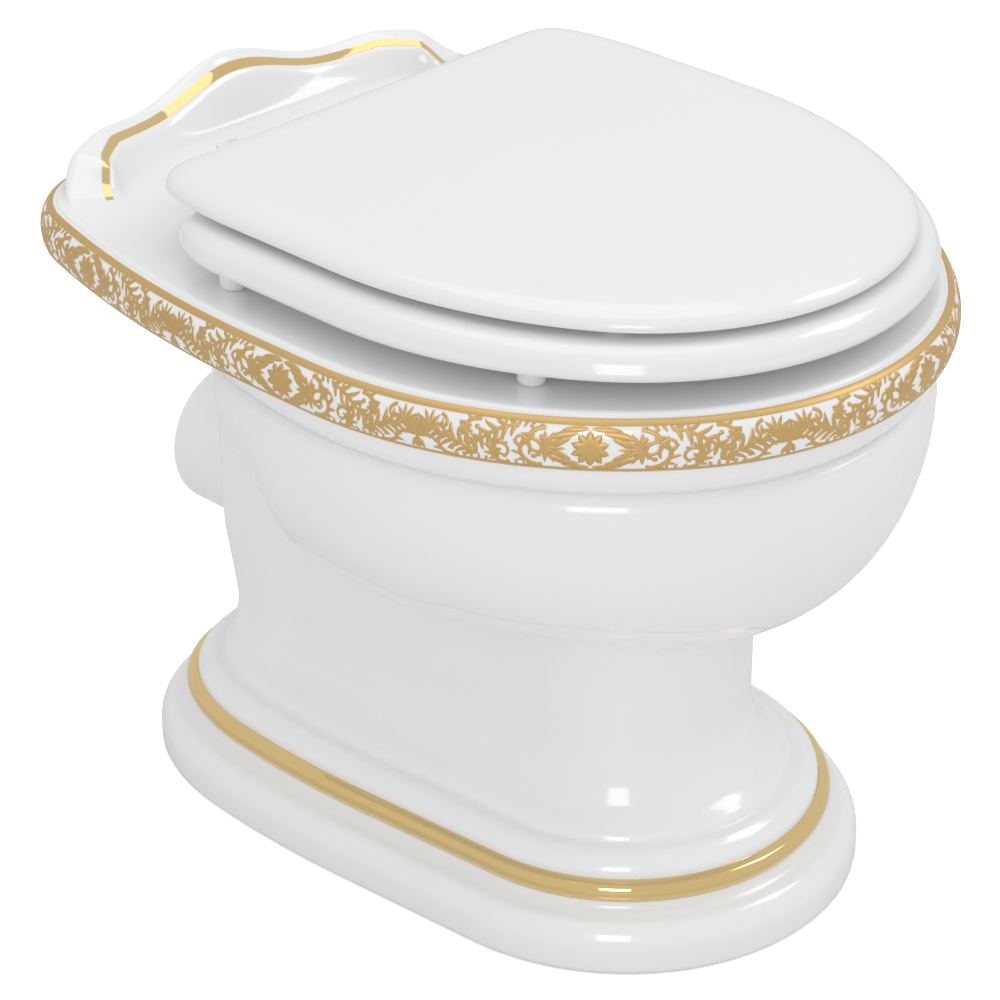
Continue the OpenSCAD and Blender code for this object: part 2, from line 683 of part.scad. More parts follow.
// The recess in the post's top that takes the bolt's head
recess_d = 10;
recess_h = 3.5;
module hinge_base(side) {
    color(chrome)
    translate([side * hinge_span / 2, axis_y, deck_h])
        difference() {
            union() {
                cylinder(d = base_d, h = base_t, $fn = 64);
                cylinder(d = post_d, h = base_t + post_h, $fn = 48);
            }
            translate([0, 0, -1])
                cylinder(d = bolt_d + 2 * fit, h = base_t + post_h + 2, $fn = 32);
            translate([0, 0, base_t + post_h - recess_h])
                cylinder(d = recess_d, h = recess_h + 1, $fn = 32);
        }
}
module hinge_base_left() { hinge_base(-1); }
module hinge_base_right() { hinge_base(1); }

bolt_len = 33;
bolt_head_h = 3;
module fixing_bolt(side) {
    color(chrome)
    translate([side * hinge_span / 2, axis_y, deck_h + base_t + post_h - recess_h]) {
        cylinder(d = recess_d - 4 * fit, h = bolt_head_h, $fn = 32);
        translate([0, 0, -bolt_len])
            cylinder(d = bolt_d, h = bolt_len, $fn = 32);
    }
}
module fixing_bolt_left() { fixing_bolt(-1); }
module fixing_bolt_right() { fixing_bolt(1); }

bung_len = 25;
insert_d = 10;
insert_h = 8;
module expansion_bung(side) {
    color(rubber)
    translate([side * hinge_span / 2, axis_y, deck_h - bung_len])
        difference() {
            cylinder(d = bung_d - 2 * fit, h = bung_len, $fn = 48);
            translate([0, 0, -1])
                cylinder(d = bolt_d + 2 * fit, h = bung_len + 2, $fn = 32);
            translate([0, 0, -1])
                cylinder(d = insert_d, h = insert_h + 1, $fn = 40);
        }
}
module expansion_bung_left() { expansion_bung(-1); }
module expansion_bung_right() { expansion_bung(1); }

module bung_insert(side) {
    color(brass)
    translate([side * hinge_span / 2, axis_y, deck_h - bung_len])
        difference() {
            cylinder(d = insert_d - 2 * fit, h = insert_h, $fn = 40);
            translate([0, 0, -1])
                cylinder(d = bolt_d + 2 * fit, h = insert_h + 2, $fn = 32);
        }
}
module bung_insert_left() { bung_insert(-1); }
module bung_insert_right() { bung_insert(1); }

// Room over the post inside the housing
post_play = 0.3;
housing_w = 24;
housing_r = 11;
housing_z = deck_h + base_t;
housing_back = 5;
button_d = 7;
button_wall = 2;
button_z = 9.5;
module hinge_housing(side) {
    color(chrome)
    translate([side * hinge_span / 2, axis_y, 0])
        difference() {
            union() {
                translate([-housing_w / 2, 0, axis_z])
                    rotate([0, 90, 0])
                        cylinder(r = housing_r, h = housing_w, $fn = 64);
                translate([-housing_w / 2, -housing_r, housing_z])
                    cube([housing_w, 2 * housing_r + housing_back, axis_z - housing_z]);
            }
            translate([0, 0, housing_z - 1])
                cylinder(d = post_d + 2 * fit, h = post_h + 1 + post_play, $fn = 48);
            translate([-housing_w, 0, axis_z])
                rotate([0, 90, 0])
                    cylinder(d = pin_d + 2 * fit, h = 2 * housing_w, $fn = 48);
            translate([0, post_d / 2 + button_wall, deck_h + button_z])
                rotate([-90, 0, 0])
                    cylinder(d = button_d + 2 * fit, h = housing_r + housing_back, $fn = 32);
        }
}
module hinge_housing_left() { hinge_housing(-1); }
module hinge_housing_right() { hinge_housing(1); }

lug_w = 16;
lug_r = 9.5;
lug_gap = 0.4;
pin_len = housing_w + 2 * lug_w + 2 * lug_gap + 2;
module hinge_pin(side) {
    color(chrome)
    translate([side * hinge_span / 2 - pin_len / 2, axis_y, axis_z])
        rotate([0, 90, 0])
            cylinder(d = pin_d, h = pin_len, $fn = 48);
}
module hinge_pin_left() { hinge_pin(-1); }
module hinge_pin_right() { hinge_pin(1); }

button_travel = 2;
// Room left behind the button when it is pressed in
button_play = 0.2;
// The button stands proud of the housing by a little more than its travel
button_proud = 0.5;
button_len = housing_r + housing_back - post_d / 2 - button_wall - button_play + button_proud;
module release_button(side) {
    color(chrome)
    translate([side * hinge_span / 2,
        axis_y + post_d / 2 + button_wall + button_travel + button_play, deck_h + button_z])
        rotate([-90, 0, 0])
            cylinder(d = button_d, h = button_len, $fn = 32);
}
module release_button_left() { release_button(-1); }
module release_button_right() { release_button(1); }

lug_web_t = 7;
lug_screw_y = -38;
screw_d = 4;
screw_head_d = 7;
screw_head_h = 2.2;
// Room round a screw in its lug, and under its head
screw_room = 0.2;
screw_sunk = 0.1;
// Length of a lug's plate in front of the hinge axis
lug_reach = 46;
// A hinge lug: a plate under the seat or the lid, with an eye round the hinge pin
module lug_eye(x, plate_z, plate_h, plate_reach, web_z) {
    translate([x, axis_y, 0])
        difference() {
            union() {
                translate([-lug_w / 2, 0, axis_z])
                    rotate([0, 90, 0])
                        cylinder(r = lug_r, h = lug_w, $fn = 48);
                translate([-lug_w / 2, -plate_reach, plate_z])
                    cube([lug_w, plate_reach, plate_h]);
                translate([-lug_w / 2, -lug_r, min(axis_z, plate_z)])
                    cube([lug_w, lug_web_t, web_z - min(axis_z, plate_z)]);
            }
            translate([0, lug_screw_y, plate_z - 1])
                cylinder(d = screw_head_d + 2 * screw_room, h = screw_head_h + 1, $fn = 32);
            translate([0, lug_screw_y, plate_z - 1])
                cylinder(d = screw_d + 2 * screw_room, h = plate_h + 2, $fn = 32);
            translate([-lug_w, 0, axis_z])
                rotate([0, 90, 0])
                    cylinder(d = pin_d + 2 * fit, h = 2 * lug_w, $fn = 48);
        }
}
lug_offset = housing_w / 2 + lug_gap + lug_w / 2;
ring_plate_t = 5;
module ring_lug(side) {
    color(plastic)
    lug_eye(side * (hinge_span / 2 - lug_offset), seat_z - ring_plate_t, ring_plate_t, lug_reach, axis_z);
}
module ring_lug_left() { ring_lug(-1); }
module ring_lug_right() { ring_lug(1); }
// The lid's lugs clear the ring's top by this
lid_lug_room = 0.6;
lid_plate_z = seat_top_z + lid_lug_room;
module lid_lug(side) {
    color(plastic)
    lug_eye(side * (hinge_span / 2 + lug_offset), lid_plate_z, lid_z - lid_plate_z, lug_reach, lid_z);
}
module lid_lug_left() { lid_lug(-1); }
module lid_lug_right() { lid_lug(1); }

screw_len = 9;
module lug_screws(offset, plate_z) {
    color(chrome)
    for (side = [-1, 1])
        translate([side * (hinge_span / 2 + offset), axis_y + lug_screw_y, plate_z + screw_sunk]) {
            cylinder(d = screw_head_d, h = screw_head_h - screw_sunk, $fn = 32);
            cylinder(d = screw_d, h = screw_len, $fn = 32);
        }
}
module ring_lug_screws() { lug_screws(-lug_offset, seat_z - ring_plate_t); }
module lid_lug_screws() { lug_screws(lug_offset, lid_plate_z); }

pan_rim();
pan_bowl();
pan_foot();
trapway();
outlet_spigot();
inlet_horn();
back_upstand();
gilt_frieze_band();
gilt_foot_bead();
gilt_crest_line();
flush_inlet_seal();
seat_ring();
lid();
seat_bumper_front_left();
seat_bumper_front_right();
seat_bumper_rear_left();
seat_bumper_rear_right();
lid_bumper_left();
lid_bumper_right();
hinge_base_left();
hinge_base_right();
fixing_bolt_left();
fixing_bolt_right();
expansion_bung_left();
expansion_bung_right();
bung_insert_left();
bung_insert_right();
hinge_housing_left();
hinge_housing_right();
hinge_pin_left();
hinge_pin_right();
release_button_left();
release_button_right();
ring_lug_left();
ring_lug_right();
lid_lug_left();
lid_lug_right();
ring_lug_screws();
lid_lug_screws();
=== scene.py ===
from bisect import bisect_right
from itertools import accumulate
from math import acos, ceil, cos, degrees, exp, hypot, pi, radians, sin

import bmesh
import bpy
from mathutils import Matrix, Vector


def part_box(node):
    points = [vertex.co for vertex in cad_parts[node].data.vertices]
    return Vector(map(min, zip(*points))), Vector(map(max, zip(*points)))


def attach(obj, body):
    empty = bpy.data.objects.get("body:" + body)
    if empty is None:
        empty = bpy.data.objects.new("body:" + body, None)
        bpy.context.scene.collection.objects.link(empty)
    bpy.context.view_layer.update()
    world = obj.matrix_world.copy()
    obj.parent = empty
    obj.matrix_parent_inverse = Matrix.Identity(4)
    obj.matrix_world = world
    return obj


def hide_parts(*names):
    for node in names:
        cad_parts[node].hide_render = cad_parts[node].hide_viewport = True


bl_info = {
    "name": "Gilded floor-standing toilet",
    "version": (1, 0, 0),
    "blender": (4, 5, 0),
    "location": "3D View > Sidebar > Toilet",
    "description": "Dresses the china pan, its gilding, the seat, the lid and the hinges",
    "category": "Object",
}

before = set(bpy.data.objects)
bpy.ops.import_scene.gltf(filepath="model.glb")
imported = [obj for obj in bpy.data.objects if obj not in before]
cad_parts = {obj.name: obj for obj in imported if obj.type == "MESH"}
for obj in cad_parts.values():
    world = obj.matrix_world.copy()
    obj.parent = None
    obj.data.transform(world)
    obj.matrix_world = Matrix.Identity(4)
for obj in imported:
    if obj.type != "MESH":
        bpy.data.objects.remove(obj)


def corners(node):
    """The two corners of a CAD node's box, in millimetres."""
    return tuple(corner * 1000 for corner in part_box(node))


BAND_OUT = 10
RIM_LOW, RIM_HIGH = corners("pan_rim")
FRONT_Y = RIM_LOW.y + BAND_OUT
HORN_LOW, HORN_HIGH = corners("inlet_horn")
SPIGOT_LOW, SPIGOT_HIGH = corners("outlet_spigot")
RING_LOW, RING_HIGH = corners("seat_ring")
LID_LOW, LID_HIGH = corners("lid")


def length(label, note, millimetres):
    return bpy.props.FloatProperty(name=label, description=note, default=millimetres / 1000,
                                   min=0, unit="LENGTH", precision=4)


def colour(label, note, value):
    return bpy.props.FloatVectorProperty(name=label, description=note, default=value, size=3,
                                         min=0, max=1, subtype="COLOR")


def angle(label, note, value):
    return bpy.props.FloatProperty(name=label, description=note, default=radians(value),
                                   subtype="ANGLE")


class TOILET_PG_pan(bpy.types.PropertyGroup):
    """Sizes of the china pan"""
    deck_height: length("Deck height", "Height of the deck over the floor", RIM_HIGH.z)
    rim_half_width: length("Half rim", "Half the width of the rim at the band's top edge", 210)
    band_bulge: length("Band bulge", "How far the rounded band stands out", BAND_OUT)
    band_height: length("Band height", "Height of the rounded band", 31.3)
    moulding_height: length("Moulding height", "Height of the small moulding under the band", 21.9)
    belly_swell: length("Belly swell", "How far the belly stands beyond the groove", 8.5)
    crest_height: length("Crest height", "Height of the upstand's middle over the deck", 39)
    crest_lobe: length("Crest lobe", "Rise of the upstand's middle over its sides", 17.5)


class TOILET_PG_seat(bpy.types.PropertyGroup):
    """Sizes of the seat ring and the lid"""
    ring_half_width: length("Half ring", "Half the width of the seat ring", 198)
    lid_half_width: length("Half lid", "Half the width of the lid", 182)
    lid_edge: length("Lid edge", "Width of the lid's rounded edge", 25)
    hardware_bevel: length("Hardware bevel", "Softening of the hinge parts' edges", 0.5)


class TOILET_PG_gilding(bpy.types.PropertyGroup):
    """Sizes of the gilding"""
    skin: length("Gilt thickness", "Thickness of the plain gilt lines", 0.3)
    relief: length("Relief", "Height of the frieze's embossed leaves", 0.35)


class TOILET_PG_finish(bpy.types.PropertyGroup):
    """Colours of the finishes"""
    china: colour("China", "Glazed white china", (0.93, 0.935, 0.94))
    frieze_gold: colour("Frieze gold", "Satin gold of the frieze", (0.7, 0.47, 0.19))
    mirror_gold: colour("Mirror gold", "Polished gold of the plain lines", (0.82, 0.6, 0.26))
    seat: colour("Seat", "White gloss plastic", (0.88, 0.89, 0.9))
    chrome: colour("Chrome", "Polished chrome of the hinges", (0.62, 0.63, 0.65))
    rubber: colour("Rubber", "Dark rubber", (0.035, 0.036, 0.038))
    brass: colour("Brass", "Turned brass", (0.62, 0.42, 0.15))


class TOILET_PG_stage(bpy.types.PropertyGroup):
    """Camera and light"""
    lens: bpy.props.FloatProperty(name="Lens", description="Focal length of the camera in mm",
                                  default=122.4, min=20, max=300)
    elevation: angle("Elevation", "Angle of the camera above the horizon", 28.905)
    azimuth: angle("Azimuth", "Angle of the camera to the left of the front", 45.913)
    floor: colour("Floor", "Pale floor", (0.8, 0.8, 0.8))


# A path is half an outline from the middle of its front, as stretches of [radius, turn in degrees]
# or, for a straight, [0, length]

def go(point, heading, radius, run):
    """Walks an arc of a radius, or a straight where the radius is 0, for a length."""
    if radius == 0:
        return (point[0] + run * cos(heading), point[1] + run * sin(heading)), heading
    turned = heading + run / radius
    return (point[0] + radius * (sin(turned) - sin(heading)),
            point[1] + radius * (cos(heading) - cos(turned))), turned


def seg_len(seg):
    radius, run = seg
    return run if radius == 0 else abs(radius) * radians(run)


def legs(path, point=(0, 0), heading=0):
    """Each stretch of a path: where it starts, its heading there, its radius and its length."""
    for seg in path:
        yield point, heading, seg[0], seg_len(seg)
        point, heading = go(point, heading, seg[0], seg_len(seg))


def path_end(path):
    *_, last = legs(path)
    return go(*last)


def close_round(path):
    """Ends half an outline on its middle line with one more arc."""
    (x, y), heading = path_end(path)
    turn = pi - heading
    return path + [[x / sin(turn), degrees(turn)]]


def close_straight(path, corner):
    """Ends half an outline with a rounded corner and a straight back edge."""
    cornered = path + [[corner, 180 - degrees(path_end(path)[1])]]
    return cornered + [[0, path_end(cornered)[0][0]]]


def nosed(nose, turn, half_width, *rest):
    """An arc of a radius and a turn, one more out to the half width, then the side's rest."""
    side = (half_width - nose * sin(radians(turn))) / (1 - sin(radians(turn)))
    return [[nose, turn], [side, 90 - turn], *rest]


def egg(nose, turn, half_width, straight):
    """Half of an oval opening."""
    path = nosed(nose, turn, half_width, [0, straight])
    return close_round(path + [path[1]])


# How far the points of an outline crowd where it turns, and how many each half has
TURN_SHARE = 0.6
HALF = 120
LOOP = 2 * HALF


def walk_share(path, total, share):
    """A point of half an outline where its turn and its length together have reached a share."""
    for seg, (point, heading, radius, run) in zip(path, legs(path)):
        part = TURN_SHARE * (0 if radius == 0 else seg[1] / 180)
        part += (1 - TURN_SHARE) * run / total
        if share <= part or seg is path[-1]:
            return go(point, heading, radius, run * min(1, share / part))
        share -= part


def outline(path, setback):
    """Points of a whole outline, as (x, y, outward x, outward y), anticlockwise from the front."""
    total = sum(seg_len(seg) for seg in path)
    half = [walk_share(path, total, number / HALF) for number in range(HALF + 1)]
    points = []
    for number in range(LOOP):
        side = 1 if number <= HALF else -1
        (x, y), heading = half[number if number <= HALF else LOOP - number]
        points.append((side * x, y + setback + FRONT_Y, side * sin(heading), -cos(heading)))
    return points


def ring_outline(radius, y):
    points = []
    for number in range(LOOP):
        a = 2 * pi * number / LOOP - pi / 2
        points.append((radius * cos(a), y + FRONT_Y + radius * sin(a), cos(a), sin(a)))
    return points


def at(spot, out, z):
    return Vector((spot[0] + out * spot[2], spot[1] + out * spot[3], z))


def lift(point, z):
    return Vector((point[0], point[1], z))


def between(a, b, f):
    return a + (b - a) * f


def ramp(value, low, high):
    return min(1.0, max(0.0, (value - low) / (high - low)))


def ease(share):
    return share * share * (3 - 2 * share)


def curve_through(points, steps):
    """A smooth run through points of any length, ends included."""
    points = [Vector(point) for point in points]
    run = []
    for k in range(len(points) - 1):
        a, b = points[k], points[k + 1]
        before = points[k - 1] if k > 0 else a * 2 - b
        after = points[k + 2] if k + 2 < len(points) else b * 2 - a
        for step in range(steps):
            t = step / steps
            bend = 2 * before - 5 * a + 4 * b - after
            twist = 3 * a - before - 3 * b + after
            run.append(0.5 * ((2 * a) + (b - before) * t + bend * t ** 2 + twist * t ** 3))
    run.append(points[-1])
    return run


def lookup(value, table):
    if value <= table[0][0]:
        return table[0][1]
    for (a, x), (b, y) in zip(table, table[1:]):
        if value <= b:
            return x + (y - x) * (value - a) / (b - a)
    return table[-1][1]


# Points nearer than this, in metres, are one
MERGE = 1e-6


def deselect():
    if bpy.context.object and bpy.context.object.mode != "OBJECT":
        bpy.ops.object.mode_set(mode="OBJECT")
    bpy.ops.object.select_all(action="DESELECT")


def activate(piece):
    """Leaves one piece selected, and active."""
    deselect()
    piece.select_set(True)
    bpy.context.view_layer.objects.active = piece


def open_mesh(piece):
    activate(piece)
    bpy.ops.object.mode_set(mode="EDIT")
    bpy.ops.mesh.select_all(action="SELECT")


def close_mesh():
    """Turns the faces outward and leaves the mesh."""
    bpy.ops.mesh.select_all(action="SELECT")
    bpy.ops.mesh.normals_make_consistent(inside=False)
    bpy.ops.object.mode_set(mode="OBJECT")


def settle():
    """Writes the active piece's place, turn and scale into its mesh."""
    bpy.ops.object.transform_apply(location=True, rotation=True, scale=True)


def paint(piece, look):
    piece.data.materials.clear()
    piece.data.materials.append(bpy.data.materials[look])


def finish_piece(name, piece, look, body, replaces=(), sharp=35):
    """Names a piece, smooths it, gives it its finish and puts it on its body."""
    activate(piece)
    piece.name = name
    piece.data.name = name
    settle()
    bpy.ops.object.shade_smooth_by_angle(angle=radians(sharp))
    paint(piece, look)
    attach(piece, body)
    if replaces:
        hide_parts(*replaces)


def wrap(sections, run_closed=True, section_closed=True, cap=False):
    """Shapes a grid into a skin: one section after another, each a run of points in millimetres."""
    rows = len(sections) + (1 if run_closed else 0)
    columns = len(sections[0]) + (1 if section_closed else 0)
    deselect()
    bpy.ops.mesh.primitive_grid_add(x_subdivisions=columns - 1, y_subdivisions=rows - 1, size=1)
    piece = bpy.context.object
    for vertex in piece.data.vertices:
        column = round((vertex.co.x + 0.5) * (columns - 1))
        row = round((vertex.co.y + 0.5) * (rows - 1))
        point = sections[row % len(sections)][column % len(sections[0])]
        vertex.co = [value / 1000 for value in point]
    open_mesh(piece)
    bpy.ops.mesh.remove_doubles(threshold=MERGE)
    if cap:
        bpy.ops.mesh.select_all(action="DESELECT")
        bpy.ops.mesh.select_non_manifold(extend=False)
        bpy.ops.mesh.edge_face_add()
    close_mesh()
    return piece


def rod(centre, axis, radius, depth, vertices=64):
    """A plain cylinder about a centre, in millimetres, along y or z."""
    deselect()
    turn = (pi / 2, 0, 0) if axis == "y" else (0, 0, 0)
    bpy.ops.mesh.primitive_cylinder_add(vertices=vertices, radius=radius / 1000, depth=depth / 1000,
                                        location=Vector(centre) / 1000, rotation=turn)
    settle()
    return bpy.context.object


def join(pieces):
    deselect()
    for piece in pieces:
        piece.select_set(True)
    bpy.context.view_layer.objects.active = pieces[0]
    bpy.ops.object.join()
    return bpy.context.object


def apply(piece, kind, **settings):
    """Gives the active piece one modifier and applies it."""
    modifier = piece.modifiers.new(kind.lower(), kind)
    for key, value in settings.items():
        setattr(modifier, key, value)
    bpy.ops.object.modifier_apply(modifier=modifier.name)


def cut(piece, cutters):
    """Takes cutters out of a piece and throws them away."""
    for cutter in cutters:
        activate(piece)
        apply(piece, "BOOLEAN", operation="DIFFERENCE", solver="EXACT", object=cutter)
        bpy.data.objects.remove(cutter, do_unlink=True)


def turned(profile, centre, axis, steps=72):
    """Spins a closed profile of (radius, height) points about y or z through a centre."""
    middle = Vector(centre)
    sections = []
    for number in range(steps):
        across, aside = cos(2 * pi * number / steps), sin(2 * pi * number / steps)
        points = [(r * across, r * aside, height) for r, height in profile]
        if axis == "y":
            points = [(x, z, -y) for x, y, z in points]
        sections.append([middle + Vector(point) for point in points])
    return wrap(sections)


def rounded(outline_points, radius, steps=4):
    """Rounds the corners of a closed profile; a corner on the axis stays sharp."""
    points = []
    for number, corner in enumerate(outline_points):
        here = Vector(corner)
        if here.x < MERGE:
            points.append(tuple(here))
            continue
        back = Vector(outline_points[number - 1]) - here
        ahead = Vector(outline_points[(number + 1) % len(outline_points)]) - here
        reach = min(radius, back.length * 0.45, ahead.length * 0.45)
        start = here + back.normalized() * reach
        end = here + ahead.normalized() * reach
        for step in range(steps + 1):
            t = step / steps
            points.append(tuple(start * (1 - t) ** 2 + here * 2 * t * (1 - t) + end * t ** 2))
    return points


def sleeve(inner, outer, start, end, soft):
    """The profile of a plain tube with softened ends."""
    return rounded([(inner, start), (outer, start), (outer, end), (inner, end)], soft)


def soften(node, bevel):
    """A copy of a CAD node with its flats merged and its edges softened."""
    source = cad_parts[node]
    copy = bpy.data.objects.new(node + "_soft", source.data.copy())
    bpy.context.scene.collection.objects.link(copy)
    copy.matrix_world = source.matrix_world.copy()
    open_mesh(copy)
    bpy.ops.mesh.remove_doubles(threshold=MERGE)
    bpy.ops.mesh.dissolve_limited(angle_limit=radians(0.5))
    bpy.ops.object.mode_set(mode="OBJECT")
    apply(copy, "BEVEL", width=bevel, segments=3, limit_method="ANGLE", angle_limit=radians(40))
    return copy


def noise(tree, scale, detail):
    """A noise over the object's own coordinates."""
    place = tree.nodes.new("ShaderNodeTexCoord")
    texture = tree.nodes.new("ShaderNodeTexNoise")
    texture.inputs["Scale"].default_value = scale
    texture.inputs["Detail"].default_value = detail
    tree.links.new(place.outputs["Object"], texture.inputs["Vector"])
    return texture.outputs["Fac"]


def finish(name, base, roughness, metallic=0.0, coat=0.0, coat_roughness=0.03, grain=0.0,
           grain_scale=200.0, tint=0.0):
    """A finish: a base colour with a faint drift of tone and, where asked, a fine grain."""
    material = bpy.data.materials.new(name)
    material.use_nodes = True
    tree = material.node_tree
    shader = tree.nodes["Principled BSDF"]
    for key, value in (("Base Color", (*base, 1)), ("Roughness", roughness), ("Metallic", metallic),
                       ("Coat Weight", coat), ("Coat Roughness", coat_roughness)):
        shader.inputs[key].default_value = value
    if tint:
        drift = tree.nodes.new("ShaderNodeValToRGB")
        low, high = drift.color_ramp.elements
        low.position, high.position = 0.3, 0.7
        low.color = (*(value * (1 - tint) for value in base), 1)
        high.color = (*base, 1)
        tree.links.new(noise(tree, 9, 1), drift.inputs["Fac"])
        tree.links.new(drift.outputs["Color"], shader.inputs["Base Color"])
    if grain:
        bump = tree.nodes.new("ShaderNodeBump")
        bump.inputs["Strength"].default_value = grain
        bump.inputs["Distance"].default_value = 0.001
        tree.links.new(noise(tree, grain_scale, 2), bump.inputs["Height"])
        tree.links.new(bump.outputs["Normal"], shader.inputs["Normal"])
    return material


class TOILET_OT_finishes(bpy.types.Operator):
    """Makes the glaze, the golds, the plastic, the chrome, the rubber and the brass"""
    bl_idname = "toilet.finishes"
    bl_label = "Finishes"

    def execute(self, context):
        tones = context.scene.toilet_finish
        finish("China glaze", tones.china, 0.16, coat=0.7, coat_roughness=0.02, tint=0.006)
        finish("Frieze gold", tones.frieze_gold, 0.42, metallic=0.8, tint=0.05, grain=0.06,
               grain_scale=900)
        finish("Mirror gold", tones.mirror_gold, 0.06, metallic=1, coat=0.5, tint=0.02)
        finish("Seat plastic", tones.seat, 0.14, coat=0.4, tint=0.004)
        finish("Chrome", tones.chrome, 0.08, metallic=1, tint=0.02)
        finish("Rubber", tones.rubber, 0.6, grain=0.1, tint=0.1)
        finish("Brass", tones.brass, 0.3, metallic=1, tint=0.05)
        return {"FINISHED"}


# Sizes of the pan in millimetres; the heights are over the floor
WALL = 12
DECK_T = 12
BAND_FOOT = 3.3
THROAT_Y = 214
TRAP_BORE = 76
TRAP_WALL = 9
BASIN_WALL = 14
SPLIT_Z = 130
WAIST_INSET = 45
WAIST_TOP, WAIST_FULL = 106, 167
COLLAR_OUT = 7.5
GILT_Z = 52.3
STEP_Z = 67
STEP_OUT = -17.7
STEP_BACK_LESS = 0.55
BEAD_OUT, BEAD_Z = 2.5, 45.8
CREST_Y = 350
SEAL_BORE = 32
HORN_BORE = 50
FLOOR_HOLE_X, FLOOR_HOLE_Y = 36, 491
DECK_HOLE_X, DECK_HOLE_Y = 77.5, 430
WAIST_BACK, WAIST_BACK_MORE = 15, 8.5
SHELF_LOW, SHELF_HIGH = 165, 278
CHAMBER_Z = 290
LIP_DEPTH = 46
MOUTH_HEIGHTS = (340, 356)
# The belly's curve: its power, and the turns in degrees at which it and its soft back part end
BELLY_POWER = 2.1
BELLY_END = 80
SOFT_END = 84
# How far behind the rim's front each outline starts
BOWL_Y, MOUTH_Y, OPENING_Y, FOOT_Y = 9, 23, 48, 58
# Depths behind the front over which the belly melts away, and the basin leaves the belly
MELT = (345, 425)
BASIN_BACK = (330, 440)
# Distances from the middle: the upstand's lobe, its side lobes, where it fades and where it widens
CREST_LOBE_X = 80
SIDE_LOBE_X, SIDE_LOBE_SPREAD, SIDE_LOBE_RISE = 122, 20, 3.5
CREST_FADE = (150, 186)
CREST_WING = (120, 158)


def eased(stops):
    """A lookup list with soft corners."""
    return [tuple(point) for point in curve_through(stops, 6)]


# Heights of the fold under the belly and of the collar's foot, by the distance behind the front
FOLD_Z = eased([(100, 203), (120, 207), (145, 211), (170, 211), (200, 206), (243, 203), (291, 205),
                (324, 208), (358, 214), (392, 226), (419, 243), (443, 259), (485, 272)])
COLLAR_Z = eased([(100, 189), (130, 194), (165, 195), (200, 189), (243, 182), (291, 181),
                  (324, 185), (358, 195), (392, 211), (419, 234), (443, 254), (485, 268)])
# How far the basin has drawn in to the throat, by height, free behind and under the belly in front
BASIN_FREE = ((130, 1), (170, 0.985), (200, 0.92), (225, 0.79), (245, 0.56), (270, 0.26),
              (300, 0.1), (340, 0))
BASIN_UNDER = ((130, 1), (165, 0.92), (188, 0.75), (208, 0.5), (226, 0))
# The basin's upper stops: the belly's turn in front and the height behind
BASIN_STOPS = ((80, 226), (70, 241), (60, 255), (49, 271), (36, 290), (20, 312))
# The upstand's profile: how far out, what its ends add to that, and the share of its height
CREST = ((-50, 3, 0), (-44, 0, 0), (-38.5, -3, 0.05), (-32, -6.5, 0.35), (-26, -9, 0.7),
         (-18, -11, 0.87), (-14.8, -7, 0.95), (-12, -3, 1), (-9, -1, 0.96), (-7, 0, 0.75),
         (-5.6, 0, 0.3), (-3.4, 0, 0))
# Points drawn from each of its stops to the next, and those of its top, under the gilt line
CREST_POINTS = 4
CREST_TOP = slice(17, 21)
# The gilt line runs where the upstand is so high, and reaches so far over and under its surface
CREST_GILT_RISE, CREST_GILT_OVER, CREST_GILT_UNDER = 1.5, 0.25, 0.5


